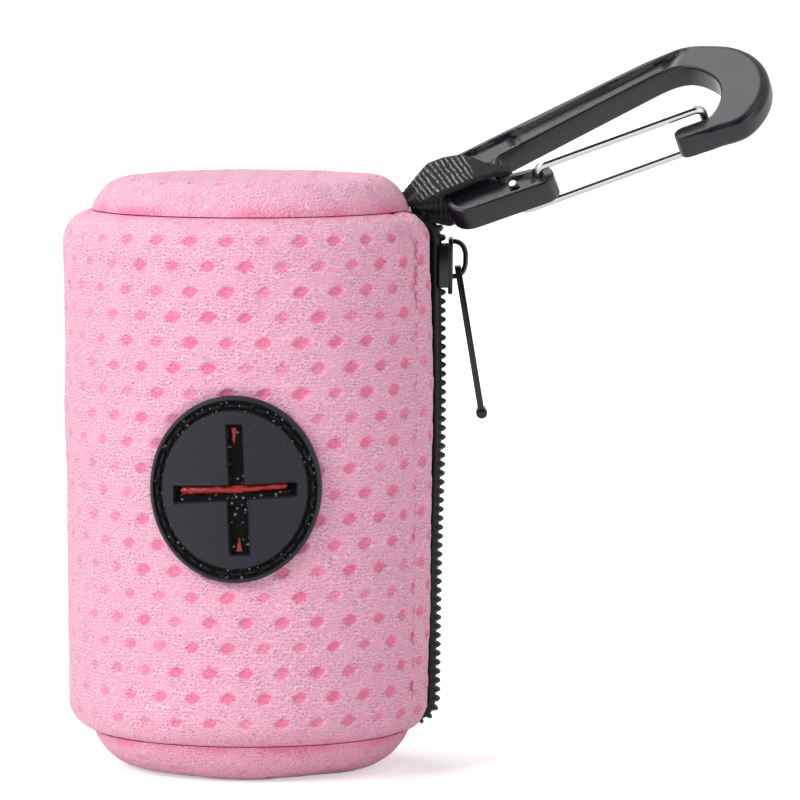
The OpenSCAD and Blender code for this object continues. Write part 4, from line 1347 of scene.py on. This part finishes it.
def make_camera():
    """A long lens a little above the object's middle, looking slightly down."""
    camera = put_in_scene("camera", bpy.data.cameras.new("camera"))
    up = math.radians(VIEW_ELEVATION)
    toward = Vector((0, math.cos(up), -math.sin(up)))
    camera.location = (VIEW_CENTRE - toward * VIEW_DISTANCE) * MM
    camera.rotation_euler = toward.to_track_quat("-Z", "Y").to_euler()
    camera.data.sensor_width = SENSOR
    camera.data.lens = SENSOR * VIEW_DISTANCE / VIEW_WIDTH
    camera.data.clip_end = 20
    bpy.context.scene.camera = camera


def make_lamp(name, place, size, power, aim=(10, 0, 40), colour=(1, 1, 1)):
    """A square lamp, its place, size and aim in millimetres."""
    lamp = put_in_scene(name, bpy.data.lights.new(name, "AREA"))
    lamp.location = Vector(place) * MM
    lamp.rotation_euler = (Vector(aim) - Vector(place)).to_track_quat("-Z", "Y").to_euler()
    lamp.data.size = size * MM
    lamp.data.energy = power
    lamp.data.color = colour


def seen_directly(tree):
    """1 for what the camera sees, itself or in metal or through film, and 0 for light on the object."""
    camera = add(tree, "LightPath", "Is Camera Ray")
    rays = camera.node.outputs
    seen = add(tree, "Math", "Value", {0: camera, 1: rays["Is Glossy Ray"]}, operation="MAXIMUM")
    return add(tree, "Math", "Value", {0: seen, 1: rays["Is Transmission Ray"]}, operation="MAXIMUM")


def make_studio():
    """A white floor, white surroundings, five soft lamps and a black sheet for reflections."""
    floor = basic_shape(bpy.ops.mesh.primitive_plane_add, size=12, location=(0, 0, 0))
    floor.name = "floor"
    paper, tree, shader = new_material("white studio paper", {
        "Base Color": linear("#F6F6F6"), "Roughness": 0.9, "Specular IOR Level": 0.1,
        "Emission Color": (1, 1, 1, 1)})
    # The paper glows to white away from the object, and keeps the object's shadow near it
    place = add(tree, "TexCoord", "Object")
    away = add(tree, "VectorMath", "Value", {0: place}, operation="LENGTH")
    level = add(tree, "MapRange", "Result", {
        "Value": away, "From Min": 0.06, "From Max": 0.32, "To Min": 0.5, "To Max": 1.0},
        interpolation_type="SMOOTHSTEP")
    fill(tree, shader, {"Emission Strength": add(
        tree, "Math", "Value", {0: seen_directly(tree), 1: level}, operation="MULTIPLY")})
    floor.data.materials.append(paper)

    world = bpy.data.worlds.new("studio")
    bpy.context.scene.world = world
    world.use_nodes = True
    tree = world.node_tree
    fill(tree, tree.nodes["Background"], {
        "Color": (1, 1, 1, 1),
        "Strength": add(tree, "MapRange", "Result", {
            "Value": seen_directly(tree), "To Min": 0.2, "To Max": 1.0})})
    make_lamp("key", (-560, -560, 480), 380, 4.7)
    make_lamp("fill", (560, -560, 260), 520, 1.4, colour=(1.0, 0.87, 0.96))
    make_lamp("back", (-230, 620, 640), 420, 2.2)
    make_lamp("overhead", (-240, 60, 700), 360, 1.5, aim=(50, 0, 80))
    make_lamp("rim", (300, -330, 640), 150, 0.3, aim=(60, 0, 85))

    flag = basic_shape(bpy.ops.mesh.primitive_plane_add, size=2.6, location=(0, -1.4, 1.4),
                       rotation=(math.pi / 2, 0, 0))
    flag.name = "black_flag"
    felt = new_material("black felt", {"Base Color": linear("#0A0A0A"), "Roughness": 1.0})[0]
    flag.data.materials.append(felt)
    # It only darkens what metal and gloss reflect from the front
    flag.visible_camera = flag.visible_diffuse = flag.visible_transmission = False
    flag.visible_shadow = flag.visible_volume_scatter = False


make_camera()
make_studio()
make_wall()
make_cap("top_cap_fabric", TOP_CAP, TOP_SEAM[1], 1, "top_cap", 0.6)
make_cap("bottom_cap_fabric", BOTTOM_CAP, BOTTOM_SEAM[1], -1, "bottom_cap", 0.3)
make_binding("top_binding_tape", TOP_SEAM, 1, "top_seam_binding")
make_binding("bottom_binding_tape", BOTTOM_SEAM, -1, "bottom_seam_binding")
make_seam_thread("top_seam_stitching", TOP_SEAM, 1)
make_seam_thread("bottom_seam_stitching", BOTTOM_SEAM, -1)
make_zip()
make_slider()
make_pull()
make_patch()
make_bag_tail()
make_roll()
make_strap()
make_carabiner()
make_gate()
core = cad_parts["roll_core"]
core.data.materials.clear()
core.data.materials.append(BOARD)

bpy.context.scene.view_settings.view_transform = "Standard"
